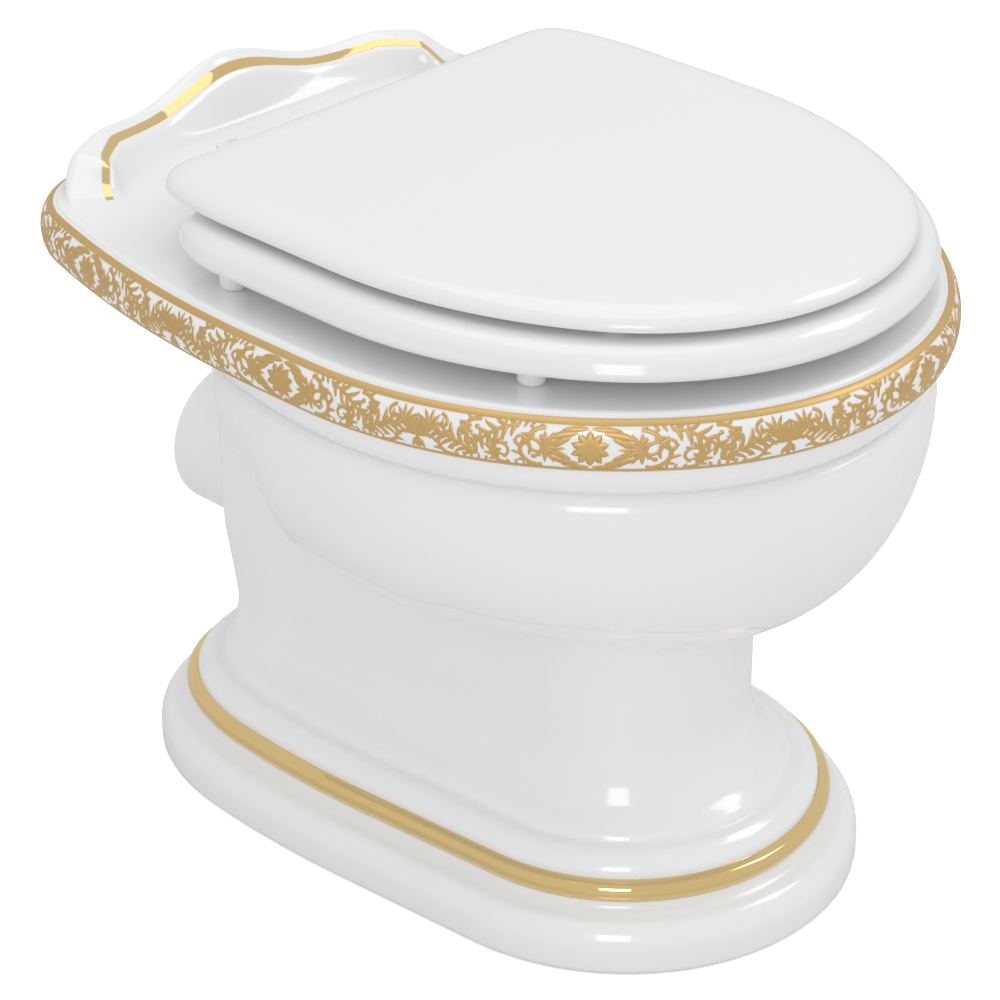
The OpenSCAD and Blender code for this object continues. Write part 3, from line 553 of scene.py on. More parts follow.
class Pan:
    """The outlines and the profiles of the pan, in millimetres."""

    def __init__(self):
        sizes = bpy.context.scene.toilet_pan
        self.deck = sizes.deck_height * 1000
        self.bulge = sizes.band_bulge * 1000
        self.top = self.deck - 2
        self.low = self.top - sizes.band_height * 1000
        self.mid = (self.top + self.low) / 2
        self.groove = self.low - sizes.moulding_height * 1000
        self.swell_out = sizes.belly_swell * 1000
        self.crest_height = sizes.crest_height * 1000
        self.crest_lobe = sizes.crest_lobe * 1000
        self.belly_top = self.groove - 12.3
        self.rim_path = close_round(nosed(184, 38, sizes.rim_half_width * 1000, [0, 46],
                                          [720, 16.5], [62, 53.5]))
        turn, run, side, half = radians(85), 110, 720, 137
        nose = (half - run * cos(turn) - side * (1 - sin(turn))) / sin(turn)
        self.rim = outline(self.rim_path, 0)
        self.bowl = outline(close_round(nosed(175, 38, 201, [350, 15.5], [50, 24.5], [0, 115])),
                            BOWL_Y)
        self.mouth = outline(close_round(nosed(161, 38, 187, [0, 12], [118, 60])), MOUTH_Y)
        self.opening = outline(egg(122, 70, 126, 24), OPENING_Y)
        self.foot = outline(close_round([[nose, 85], [0, run], [side, 9], [150, 21], [90, 50]]),
                            FOOT_Y)
        self.throat = ring_outline(TRAP_BORE / 2, THROAT_Y)

    def band(self, a, grow=0.0):
        """A point of the band's profile at an angle over or under its middle, as (out, z)."""
        if a >= 0:
            return grow + self.bulge * cos(a), self.mid + (self.top - self.mid + grow) * sin(a)
        return (grow + BAND_FOOT + (self.bulge - BAND_FOOT) * cos(a),
                self.mid + (self.mid - self.low) * sin(a))

    def moulding(self):
        low = self.low
        return curve_through([
            (7.5, low), (8.6, low - 6), (8.2, low - 11), (5.5, low - 16), (0, self.groove)], 5)

    def behind(self, i):
        """How much an outline's point belongs to the back corners: 0 at the front and sides."""
        return ramp(self.foot[i][3], 0, 0.65)

    def waist_out(self, i, z):
        more = WAIST_BACK + WAIST_BACK_MORE * ramp(z, WAIST_TOP, WAIST_FULL)
        return -WAIST_INSET + self.behind(i) * more

    def waist(self, i, z):
        return at(self.foot[i], self.waist_out(i, z), z)

    def swell(self, i):
        return self.swell_out * (1 - 0.5 * self.behind(i))

    def side_depth(self, i):
        """How far the waist's point lies behind the front."""
        return self.waist(i, WAIST_FULL)[1] - FRONT_Y

    def rear(self, i):
        """How far the belly has melted into the pedestal: 0 at the front and sides, 1 behind."""
        return ease(ramp(self.side_depth(i), *MELT))

    def collar_out(self, i):
        return COLLAR_OUT * (1 - self.rear(i)) + 0.4

    def folds(self, i):
        """The heights of the fold and of the collar's foot."""
        depth = self.side_depth(i)
        return lookup(depth, FOLD_Z), lookup(depth, COLLAR_Z)

    def soft_belly(self, i, share, inside=0):
        """A point of the soft S behind, at a share of the way down to the collar."""
        z = self.belly_top + (self.folds(i)[1] + inside - self.belly_top) * share
        top = at(self.bowl[i], self.swell(i) - inside, 0)
        return lift(between(top, self.waist(i, z), ease(share)), z)

    def belly(self, i, turn, inside=0):
        """A point of the belly, which ends in a fold in front and runs out in a soft S behind."""
        t = radians(turn)
        top = at(self.bowl[i], self.swell(i) - inside, 0)
        drop = self.belly_top - self.folds(i)[0] - inside
        z = self.belly_top - drop * sin(t) ** (2 / BELLY_POWER)
        foot = at(self.foot[i], self.waist_out(i, z) + self.collar_out(i), 0)
        front = lift(between(top, foot, 1 - cos(t) ** (2 / BELLY_POWER)), z)
        return between(front, self.soft_belly(i, turn / SOFT_END, inside), self.rear(i))

    def belly_section(self, i):
        """The outer skin from the moulding down over the belly, the fold and the collar."""
        foot, rear, out = self.foot[i], self.rear(i), self.collar_out(i)
        fold, collar = self.folds(i)
        under = fold - 3
        points = [at(self.bowl[i], rise, z) for rise, z in self.moulding()]
        points += [at(self.bowl[i], self.swell(i) * share, self.groove - drop)
                   for share, drop in ((0.35, 1.2), (0.62, 3), (0.88, 7))]
        points += [self.belly(i, turn) for turn in
                   [0, 6, 12, 18, 24, 30, 36, 42, 48, 53, 58, 63, 68, 72, 76, BELLY_END]]
        top = at(self.bowl[i], self.swell(i), 0)
        hollow = [(0.88, fold + 0.9), (0.95, fold + 0.3), (0.995, fold), (1, under)]
        for number, (share, z) in enumerate(hollow):
            front = lift(between(top, at(foot, self.waist_out(i, z) + out, z), share), z)
            points.append(between(front, self.soft_belly(i, 0.96 + 0.01 * number), rear))
        start = under * (1 - rear) + (collar + 0.01 * (self.belly_top - collar)) * rear
        for f in (0.3, 0.55, 0.75, 0.88, 0.96, 1.0):
            z = start + (collar - 3 - start) * f
            lean = out * (1 - f) ** 1.3
            points.append(at(foot, self.waist_out(i, z) + lean * (1 - rear), z))
        steps, start = 8, collar - 6
        points += [self.waist(i, start + (WAIST_TOP - start) * step / steps)
                   for step in range(steps)]
        return points

    def bead(self, grow):
        return [(BEAD_OUT + (5 + grow) * cos(radians(a)), BEAD_Z + (6 + grow) * sin(radians(a)))
                for a in range(68, -40, -9)]

    def foot_profile(self):
        high = curve_through([
            (-WAIST_INSET + 1, WAIST_TOP), (-39, 92), (-32, 81), (-24.5, 75), (-20, 71.5)], 4)
        step = [(-18.6, 69.6), (STEP_OUT, 67.6), (-16.4, 66.7), (-14, 66.4)]
        ledge = curve_through([(-11, 66.2), (-5, 62.5), (-1, 57.5), (0, GILT_Z)], 4)
        torus = [(11 + 15 * cos(radians(a)), 14 + 18.5 * sin(radians(a)))
                 for a in range(84, -1, -7)]
        return ([tuple(point) for point in high] + step + [tuple(point) for point in ledge]
                + self.bead(0) + [(5.0, 39.6), (5.6, 37), (7.5, 34.2)] + torus
                + [(26, 9), (26, 4), (25.6, 1.5), (24.6, 0.3), (23, 0)])

    def foot_out(self, i, out, z):
        """Above the step the profile draws in less at the back."""
        if z < STEP_Z + 1:
            return out
        return STEP_OUT + (out - STEP_OUT) * (1 - STEP_BACK_LESS * self.behind(i))

    def backness(self, i):
        """How far the basin's wall has left the belly: 0 in front, 1 behind."""
        return ramp(self.bowl[i][1] - FRONT_Y, *BASIN_BACK)

    def basin_free(self, i, z):
        mouth, throat = at(self.mouth[i], 0, z), at(self.throat[i], 0, z)
        return between(mouth, throat, lookup(z, BASIN_FREE))

    def basin_low(self, i, z):
        start = lift(self.belly(i, BELLY_END, BASIN_WALL), z)
        under = between(start, at(self.throat[i], 0, z), lookup(z, BASIN_UNDER))
        return between(under, self.basin_free(i, z), self.backness(i))

    def basin_upper(self, i, turn, z):
        return between(self.belly(i, turn, BASIN_WALL), self.basin_free(i, z), self.backness(i))

    def basin_section(self, i):
        """The water side of the bowl, from the throat up to the mouth."""
        stops = [self.basin_low(i, z) for z in (SPLIT_Z, 148, 165, 188, 208)]
        stops += [self.basin_upper(i, turn, z) for turn, z in BASIN_STOPS]
        return curve_through(stops + [at(self.mouth[i], 0, z) for z in MOUTH_HEIGHTS], 4)

    def basin_back(self, i, z):
        throat = self.throat[i]
        return self.basin_low(i, z) + BASIN_WALL * Vector((throat[2], throat[3], 0))

    def crest_rise(self, x):
        """The upstand's height: a lobe in the middle, a low one each side, then down to nothing."""
        u = abs(x)
        lobe = (1 + cos(pi * u / CREST_LOBE_X)) / 2 if u < CREST_LOBE_X else 0
        side = SIDE_LOBE_RISE * exp(-((u - SIDE_LOBE_X) / SIDE_LOBE_SPREAD) ** 2)
        rise = self.crest_height - self.crest_lobe + self.crest_lobe * lobe + side
        return rise * (1 - ease(ramp(u, *CREST_FADE)))

    def crest(self, i):
        """The upstand across the deck's edge, from its inner foot out to the band."""
        spot = self.rim[i]
        height = self.crest_rise(spot[0]) if spot[1] > FRONT_Y + CREST_Y else 0
        wing = ramp(abs(spot[0]), *CREST_WING)
        stops = [(out + more * wing, share * height) for out, more, share in CREST]
        return [at(spot, out, self.deck + rise) for out, rise in curve_through(stops, CREST_POINTS)]

    def section(self, i):
        """One closed section through the whole pan."""
        hole, rim, bowl, foot = self.opening[i], self.rim[i], self.bowl[i], self.foot[i]
        mouth, throat = self.mouth[i], self.throat[i]
        deck, low, back = self.deck, self.low, self.backness(i)
        crest = self.crest(i)
        edge = at(hole, 4, deck)
        points = [at(hole, out, deck - drop) for out, drop in ((0, 4), (0.6, 1.9), (1.9, 0.6))]
        points += [between(edge, crest[0], f / 5) for f in range(5)]
        points += crest
        points += [at(rim, -1.6, deck - 0.5), at(rim, -0.4, deck - 1.2)]
        points += [at(rim, *self.band(radians(a))) for a in range(90, -91, -6)]
        points += self.belly_section(i)
        points += [at(foot, self.foot_out(i, out, z), z) for out, z in self.foot_profile()]
        points += [at(foot, out, z) for out, z in
                   ((9, 0), (9, 20), (-8, 38), (-34, 58), (-WAIST_INSET - WALL, 88))]
        shelf = SHELF_LOW + (SHELF_HIGH - SHELF_LOW) * back * back
        half = (SPLIT_Z + shelf) / 2
        points += [at(foot, self.waist_out(i, z) - WALL, z) for z in (SPLIT_Z, half, shelf)]
        points += [self.basin_back(i, shelf), self.basin_back(i, half),
                   at(throat, TRAP_WALL, SPLIT_Z)]
        points += self.basin_section(i)
        chamber = (low - 3) * (1 - back) + CHAMBER_Z * back
        groove_out = -3 - (WALL - 3) * back
        groove_in = between(at(bowl, -8, low), at(mouth, 10, low), back)
        plate, lip = low + 10, deck - LIP_DEPTH
        points += [at(mouth, 0, low), groove_in, lift(groove_in, chamber)]
        points += [at(*row) for row in (
            (bowl, groove_out, chamber), (bowl, groove_out, plate), (rim, -9, plate),
            (rim, -9, deck - DECK_T), (hole, WALL, deck - DECK_T), (hole, WALL, lip),
            (hole, WALL - 3, lip - 3), (hole, 3, lip - 3), (hole, 0, lip))]
        return points


class TOILET_OT_pan(bpy.types.Operator):
    """Models the china pan in one piece, with its holes"""
    bl_idname = "toilet.pan"
    bl_label = "China pan"

    def execute(self, context):
        pan = Pan()
        piece = wrap([pan.section(i) for i in range(LOOP)])
        spigot_z = (SPIGOT_LOW.z + SPIGOT_HIGH.z) / 2
        horn_z = (HORN_LOW.z + HORN_HIGH.z) / 2
        cutters = [rod((0, SPIGOT_LOW.y + 4, spigot_z), "y", SPIGOT_HIGH.x - TRAP_WALL, 60),
                   rod((0, HORN_LOW.y + 10, horn_z), "y", HORN_BORE / 2, 60)]
        for side in (-1, 1):
            cutters.append(rod((side * FLOOR_HOLE_X, FLOOR_HOLE_Y + FRONT_Y, 44), "z", 4, 92, 32))
            place = (side * DECK_HOLE_X, DECK_HOLE_Y + FRONT_Y, RIM_HIGH.z - 6)
            cutters.append(rod(place, "z", 8, 16, 48))
        cut(piece, cutters)
        finish_piece("china_pan", piece, "China glaze", "pan",
                     ("pan_rim", "pan_bowl", "pan_foot", "back_upstand"), sharp=55)
        return {"FINISHED"}


class TOILET_OT_waterway(bpy.types.Operator):
    """Models the trap, the waste outlet, the flush inlet and its rubber seal"""
    bl_idname = "toilet.waterway"
    bl_label = "Trap, outlet and inlet"

    def trap(self):
        """The trap as lines along it, outside and back inside, one line for each step round."""
        weir_z, dip_z, dip_r, weir_r, bend_r, outlet_z = 200, 70, 58, 53, 52, 162
        drop = degrees(acos(1 - (weir_z - outlet_z) / (2 * bend_r)))
        way = [[0, SPLIT_Z - dip_z - dip_r], [dip_r, 180], [0, weir_z - weir_r - dip_z - dip_r],
               [-weir_r, 90], [-bend_r, drop], [bend_r, drop]]
        start, down, sides = (THROAT_Y + FRONT_Y, SPLIT_Z), -pi / 2, 56
        rings = []
        for point, heading, radius, run in legs(way, start, down):
            steps = max(1, ceil(run / 6))
            rings += [go(point, heading, radius, run * step / steps) for step in range(steps)]
        rings.append(go(point, heading, radius, run))

        def ring_point(ring, reach, a):
            (y, z), heading = ring
            return (reach * cos(a), y - reach * sin(a) * sin(heading),
                    z + reach * sin(a) * cos(heading))

        bore = TRAP_BORE / 2
        turns = [2 * pi * k / sides for k in range(sides)]
        return [[ring_point(ring, bore + TRAP_WALL, a) for ring in rings]
                + [ring_point(ring, bore, a) for ring in reversed(rings)] for a in turns]

    def tube(self, name, node, box, profile, look="China glaze", slot="china", steps=72):
        low, high = box
        piece = turned(profile, (0, low.y, (low.z + high.z) / 2), "y", steps)
        finish_piece(name, piece, look, "pan", (node,))

    def execute(self, context):
        finish_piece("china_trap", wrap(self.trap()), "China glaze", "pan", ("trapway",))
        spigot, horn = (SPIGOT_LOW, SPIGOT_HIGH), (HORN_LOW, HORN_HIGH)
        outer = SPIGOT_HIGH.x
        self.tube("china_outlet", "outlet_spigot", spigot,
                  sleeve(outer - TRAP_WALL, outer, 0, SPIGOT_HIGH.y - SPIGOT_LOW.y, 3), steps=96)
        end = HORN_HIGH.y - HORN_LOW.y
        self.tube("china_inlet", "inlet_horn", horn, sleeve(HORN_BORE / 2, HORN_HIGH.x, 0, end, 2))
        self.tube("rubber_seal", "flush_inlet_seal", horn,
                  sleeve(SEAL_BORE / 2, HORN_BORE / 2 - 0.1, end - 30, end - 0.2, 1.5), "Rubber",
                  "rubber")
        return {"FINISHED"}


class TOILET_OT_gilt_lines(bpy.types.Operator):
    """Models the mirror-gold bead round the foot and the line along the upstand"""
    bl_idname = "toilet.gilt_lines"
    bl_label = "Plain gilt lines"

    def execute(self, context):
        pan = Pan()
        skin = context.scene.toilet_gilding.skin * 1000
        profile = [(0.1, GILT_Z + 0.35)] + pan.bead(skin) + [(5.1, 39.5)] + pan.bead(-0.6)[::-1]
        sections = [[at(spot, out, z) for out, z in profile] for spot in pan.foot]
        finish_piece("gilt_bead", wrap(sections), "Mirror gold", "pan",
                     ("gilt_foot_bead",), sharp=60)
        over, under = Vector((0, 0, CREST_GILT_OVER)), Vector((0, 0, CREST_GILT_UNDER))
        sections = []
        for i, (x, y, _, _) in enumerate(pan.rim):
            if y >= FRONT_Y + CREST_Y and pan.crest_rise(x) >= CREST_GILT_RISE:
                top = pan.crest(i)[CREST_TOP]
                sections.append([point + over for point in top]
                                + [point - under for point in reversed(top)])
        finish_piece("gilt_crest", wrap(sections, run_closed=False, cap=True), "Mirror gold",
                     "pan", ("gilt_crest_line",), sharp=50)
        return {"FINISHED"}


class Band:
    """Lays flat ornament on the rounded band: along it, up from its middle, and out from it."""

    def __init__(self, pan):
        half = []
        for point, heading, radius, run in legs(pan.rim_path):
            pieces = ceil(run)
            for number in range(pieces):
                (x, y), turned_to = go(point, heading, radius, run * number / pieces)
                half.append((x, y + FRONT_Y, turned_to))
        half.append((0, go(point, heading, radius, run)[0][1] + FRONT_Y, pi))
        runs = (hypot(b[0] - a[0], b[1] - a[1]) + pan.bulge * (b[2] - a[2])
                for a, b in zip(half, half[1:]))
        self.plan = list(zip(accumulate(runs, initial=0.0), half))
        self.half = self.plan[-1][0]
        spots = [pan.band(radians(a)) for a in range(-90, 91)]
        rises = list(accumulate((hypot(b[0] - a[0], b[1] - a[1]) for a, b in zip(spots, spots[1:])),
                                initial=0.0))
        self.side = [(rise - rises[90], spot) for rise, spot in zip(rises, spots)]

    def find(self, rows, value):
        """The two rows round a value, and how far it lies between them."""
        after = bisect_right(rows, value, key=lambda row: row[0])
        low = min(len(rows) - 2, max(0, after - 1))
        (start, first), (end, second) = rows[low], rows[low + 1]
        return first, second, min(1.0, max(0.0, (value - start) / (end - start)))

    def spot(self, along, up, out):
        """A point in millimetres; along runs both ways from the front, up to the half length."""
        along = (along + self.half) % (2 * self.half) - self.half
        first, second, f = self.find(self.plan, abs(along))
        x, y, heading = (a + (b - a) * f for a, b in zip(first, second))
        first, second, g = self.find(self.side, up)
        flat, z = (a + (b - a) * g for a, b in zip(first, second))
        rise, run = second[1] - first[1], second[0] - first[0]
        size = hypot(rise, run)
        flat += out * rise / size
        z -= out * run / size
        side = 1 if along >= 0 else -1
        return Vector((side * (x + flat * sin(heading)), y - flat * cos(heading), z))


def winding(u, v, heading, run, bend, wind, steps):
    """Points and headings along a line that bends more and more, or evenly where wind is 1."""
    turn, bend = radians(heading), radians(bend)
    for k in range(steps + 1):
        yield u, v, turn + bend * (k / steps) ** wind
        middle = turn + bend * ((k + 0.5) / steps) ** wind
        u += run / steps * cos(middle)
        v += run / steps * sin(middle)


class Ornament:
    """Embossed strokes, gathered flat: each a spine of (along, up, heading, half width)."""

    def __init__(self):
        self.strokes = []
        self.dots = []

    def stroke(self, u, v, heading, run, width, bend, wind, steps, shape):
        """Winds a spine on from a point; its shape says how its width runs."""
        spine = []
        for k, (u, v, facing) in enumerate(winding(u, v, heading, run, bend, wind, steps)):
            t = k / steps
            if shape == "leaf":
                half = 1.12 * width * (0.3 + 0.7 * sin(pi * t ** 0.75)) if t < 1 else 0
            elif shape == "petal":
                half = width * max(0, sin(pi * (0.06 + 0.94 * t) ** 1.25)) ** 0.5
            else:
                half = 1.1 * width * (1 - 0.4 * t)
            spine.append((u, v, facing, max(half, 0.04)))
        self.strokes.append(spine)
        return spine[-1]

    def leaf(self, u, v, heading, run, width, bend=0):
        return self.stroke(u, v, heading, run, width / 2, bend, 1.3, 6, "leaf")

    def petal(self, u, v, heading, run, width):
        return self.stroke(u, v, heading, run, width / 2, 0, 1, 5, "petal")

    def dot(self, u, v, radius):
        self.dots.append((u, v, radius))

    def curl(self, u, v, heading, run, width, bend, eye=0):
        x, y, _, _ = self.stroke(u, v, heading, run, width / 2, bend, 1.5, 16, "vine")
        if eye:
            self.dot(x, y, eye)

    def scroll(self, u, v, heading, run, bend, width, lobes, size, eye=2.2):
        """An acanthus scroll: a stem winding up to an eye, with lobes along its outer side."""
        self.curl(u, v, heading, run, width, bend, eye)
        outer = -1 if bend > 0 else 1
        steps = 40
        x, y = u, v
        for k in range(steps):
            t = k / steps
            turn = radians(heading) + radians(bend) * t ** 1.5
            if k % max(1, int(steps * 0.72 / lobes)) == 1 and t < 0.74:
                reach = size * (0.55 + 0.6 * sin(pi * min(1, t * 1.25)))
                self.leaf(x, y, degrees(turn) + outer * 30, reach, size * 0.4, outer * 50)
            x += run / steps * cos(turn)
            y += run / steps * sin(turn)

    def plume(self, u, v, heading, run, bend, reach, count, width=2.4, spread=34, curled=-46):
        """A stem with paired leaflets that sweep forward and flare out."""
        steps = 24
        spots = list(winding(u, v, heading, run, bend, 1, steps))
        self.stroke(u, v, heading, run, width * 0.45, bend, 1, 14, "leaf")
        for k in range(count):
            t = (k + 0.4) / count
            x, y, facing = spots[min(steps, int(t * steps))]
            size = reach * (0.5 + 0.5 * sin(pi * min(1, 0.15 + t * 0.9)))
            for side in (1, -1):
                self.leaf(x, y, degrees(facing) + side * spread, size, width, -side * curled)
        x, y, facing = spots[-1]
        self.leaf(x, y, degrees(facing), reach * 0.7, width)

    def palmette(self, u, v, heading, radius, fingers, width=1.7):
        for k in range(fingers):
            fan = -78 + 156 * k / (fingers - 1)
            self.leaf(u, v, heading + fan, radius * (0.72 + 0.28 * cos(radians(fan))), width,
                      fan * 0.25)
        self.dot(u, v, width * 0.6)

    def flower(self, u, v, radius, petals, width):
        for k in range(petals):
            self.petal(u, v, 90 + 360 * k / petals, radius, width)
        self.dot(u, v, radius * 0.24)


def rosette(art):
    for k in range(10):
        art.petal(0, 0.5, 90 + 36 * k, 10.8, 5.0)
    for k in range(10):
        art.petal(0, 0.5, 72 + 36 * k, 6.4, 3.2)
    art.dot(0, 0.5, 1.9)


def scrollwork(art):
    """Half a repeat: from the rosette, at 0, to the palmettes, at 100."""
    for v, way in ((12.2, -1), (-11.2, 1)):
        art.leaf(1, v, 0, 15, 3.2, way * 10)
        art.leaf(7, v + way * 2.4, 4 * way, 17, 4.2, way * 26)
        art.leaf(11, v + way * 5.2, 20 * way, 12, 3.4, way * 40)
    art.palmette(26, 0.5, 180, 12.5, 7, 2.6)
    # Along, up, heading, run, bend, width, lobes, their size, the eye's radius
    for row in ((27, -11.5, 4, 44, 350, 2.8, 6, 5.2, 2.1), (25, 12, -8, 36, -330, 2.6, 5, 4.6, 1.8),
                (46, -12.5, 4, 34, 330, 2.6, 6, 4.6, 1.8), (62, 13, -4, 32, -330, 2.6, 5, 4.8, 1.8),
                (77, -12.6, 2, 34, 330, 2.6, 5, 4.8, 1.8)):
        art.scroll(*row)
    art.plume(40, 12.5, -12, 33, -40, 10, 6, 2.4)
    art.plume(63, -9, 34, 38, -30, 11, 8, 2.4)
    art.flower(71, 6, 4.6, 7, 2.3)
    art.flower(53.5, -5.5, 4.4, 7, 2.2)
    art.palmette(92, 3, 66, 10.5, 7, 2.3)
    art.curl(34, 1, 80, 14, 2.2, -200, 1.4)
    art.curl(86, 12, 200, 13, 2.2, 210, 1.3)
    for k in range(5):
        art.leaf(29 + 4.2 * k, -12.6, 120 - 12 * k, 3.6, 1.5, -20)
        art.leaf(60 + 4.0 * k, -12.6, 120 - 12 * k, 4.0, 1.6, -20)
        art.leaf(31 + 4.2 * k, 14, -34 - 12 * k, 4.2, 1.6, -20)


def palmettes(art):
    """What stands on the axis between two repeats, at 100."""
    art.palmette(100, -3, 90, 13, 7, 2.6)
    art.dot(100, -5, 1.8)
    art.petal(100, -5, -90, 7.5, 4.0)
    art.leaf(100, -5, -50, 8, 2.8, -30)
    art.leaf(100, -5, -130, 8, 2.8, 30)


# Where the rosettes stand along the band, to the right (+) and the left (-) of the front, and the
# length of one repeat as drawn, from one rosette to the next
ROSETTES = (-570, -380, -184, 41, 254, 467, 680, 893)
REPEAT = 200
# The ornament's limits on the band, from its middle, and the rows of beads along them
ORNAMENT_LOW, ORNAMENT_HIGH = -12.9, 14.2
BEADS = ((14.3, 0.55), (-13.0, 0.5))
BEAD_GAP = 2.0
# The turns on the band between which the two border lines lie
BORDERS = ((80, 56), (-52, -80))


class Embossing:
    """Gathers low relief on the band as points and faces."""

    def __init__(self, band, relief):
        self.band, self.relief = band, relief
        self.points, self.faces = [], []

    def skirt(self, first, wide):
        """The faces between one closed row of points and the next."""
        for j in range(wide):
            n = (j + 1) % wide
            self.faces.append((first + j, first + n, first + wide + n, first + wide + j))

    def ridge(self, spine, start, stretch, more):
        """One closed stroke: a low ridge with its edges sunk in the china."""
        first, low, high = len(self.points), ORNAMENT_LOW - 1, ORNAMENT_HIGH + 1
        shoulder = self.relief * 0.7 + more
        row = ((1, -0.1), (0.85, shoulder), (0, self.relief + more), (-0.85, shoulder), (-1, -0.1))
        for u, v, heading, half in spine:
            for share, out in row:
                x = u - share * half * sin(heading)
                y = min(high, max(low, v + share * half * cos(heading)))
                self.points.append(self.band.spot(start + stretch * x, y, out))
        wide = len(row)
        for start_of_row in range(first, len(self.points) - wide, wide):
            self.skirt(start_of_row, wide)
        self.faces.append(tuple(range(first, first + wide)))
        self.faces.append(tuple(range(len(self.points) - 1, len(self.points) - wide - 1, -1)))

    def boss(self, along, up, radius, high, sides=8):
        """A low dome."""
        first = len(self.points)
        for share, out in ((1.0, -0.2), (0.6, high * 0.8)):
            for k in range(sides):
                a = 2 * pi * k / sides
                self.points.append(self.band.spot(along + radius * share * cos(a),
                                                  up + radius * share * sin(a), out))
        self.points.append(self.band.spot(along, up, high * 1.1))
        self.skirt(first, sides)
        upper, top = first + sides, first + 2 * sides
        for k in range(sides):
            self.faces.append((upper + k, upper + (k + 1) % sides, top))
        self.faces.append(tuple(range(first + sides - 1, first - 1, -1)))

    def put(self, art, start, stretch, more=0.0):
        """Lays an ornament on the band from a start, mirrored where its stretch is below 0."""
        for spine in art.strokes:
            self.ridge(spine, start, stretch, more)
        for u, v, radius in art.dots:
            self.boss(start + stretch * u, v, radius, self.relief)

    def piece(self):
        deselect()
        bpy.ops.mesh.primitive_plane_add(size=1)
        piece = bpy.context.object
        mesh = bmesh.new()
        spots = [mesh.verts.new(point / 1000) for point in self.points]
        for face in self.faces:
            mesh.faces.new([spots[k] for k in face])
        mesh.to_mesh(piece.data)
        mesh.free()
        open_mesh(piece)
        close_mesh()
        return piece


class TOILET_OT_frieze(bpy.types.Operator):
    """Models the frieze: gold leaves, scrolls, rosettes and beaded border lines"""
    bl_idname = "toilet.frieze"
    bl_label = "Frieze"

    def borders(self, pan, relief):
        bands = []
        for high, low in BORDERS:
            turns = [radians(high + (low - high) * step / 8) for step in range(9)]
            profile = [pan.band(a, relief * 0.8) for a in turns]
            profile += [pan.band(a, -0.4) for a in reversed(turns)]
            bands.append(wrap([[at(spot, *place) for place in profile] for spot in pan.rim]))
        return bands

    def execute(self, context):
        pan = Pan()
        band = Band(pan)
        relief = context.scene.toilet_gilding.relief * 1000
        full, axis, centre = Ornament(), Ornament(), Ornament()
        scrollwork(full)
        palmettes(axis)
        rosette(centre)
        spans = [second - first for first, second in
                 zip(ROSETTES, ROSETTES[1:] + (ROSETTES[0] + 2 * band.half,))]
        work = Embossing(band, relief)
        for number, start in enumerate(ROSETTES):
            ahead, behind = spans[number] / REPEAT, spans[number - 1] / REPEAT
            work.put(centre, start, 1, 0.1)
            work.put(full, start, ahead)
            work.put(full, start, -behind)
            work.put(axis, start, ahead)
        count = int(2 * band.half / BEAD_GAP)
        for up, radius in BEADS:
            for k in range(count):
                work.boss(2 * band.half * k / count, up, radius, relief * 1.6, 6)
        leaves = work.piece()
        lines = join(self.borders(pan, relief))
        finish_piece("gilt_borders", lines, "Frieze gold", "pan",
                     ("gilt_frieze_band",), sharp=40)
        finish_piece("gilt_leaves", leaves, "Frieze gold", "pan", sharp=70)
        return {"FINISHED"}


def pad(name, node, body, foot, steps):
    """A bumper turned about its own middle, with a foot of (inset, rise) corners."""
    low, high = corners(node)
    radius = (high.x - low.x) / 2
    profile = [(radius - inset, low.z + rise) for inset, rise in foot]
    profile = rounded([(0, low.z), *profile, (radius, high.z), (0, high.z)], 1.2)
    centre = ((low.x + high.x) / 2, (low.y + high.y) / 2, 0)
    finish_piece(name, turned(profile, centre, "z", steps), "Seat plastic", body,
                 (node,))


class TOILET_OT_seat(bpy.types.Operator):
    """Models the seat ring and its bumpers"""
    bl_idname = "toilet.seat"
    bl_label = "Seat ring"

    def execute(self, context):
        half = context.scene.toilet_seat.ring_half_width * 1000
        line = outline(close_straight(nosed(181, 52, half, [0, 93], [90, 30]), corner=26),
                       setback=4)
        hole = outline(egg(108, 70, 112, 30), setback=62)
        low, high = RING_LOW.z, RING_HIGH.z
        outer = curve_through([(-24, high), (-17, high - 0.05), (-9, high - 1.5), (-3, high - 6),
                               (-0.2, high - 12), (0.3, low + 3), (-0.9, low + 0.6)], 5)
        inner = curve_through([(-0.1, low + 0.5), (-0.5, low + 3), (0.5, high - 9), (5, high - 3),
                               (14, high - 0.05), (20, high)], 5)
        sections = [[at(spot, out, z) for out, z in outer] + [at(spot, -2.2, low), at(edge, 1, low)]
                    + [at(edge, out, z) for out, z in inner] for spot, edge in zip(line, hole)]
        finish_piece("seat", wrap(sections), "Seat plastic", "ring",
                     ("seat_ring",))
        for name in ("bumper_front_left", "bumper_front_right", "bumper_rear_left",
                     "bumper_rear_right"):
            pad(name, "seat_" + name, "ring", ((1.6, 0), (0, 2.2)), 48)
        return {"FINISHED"}


# Where the rows across the lid meet, behind the front
LID_MIDDLE_Y = 230


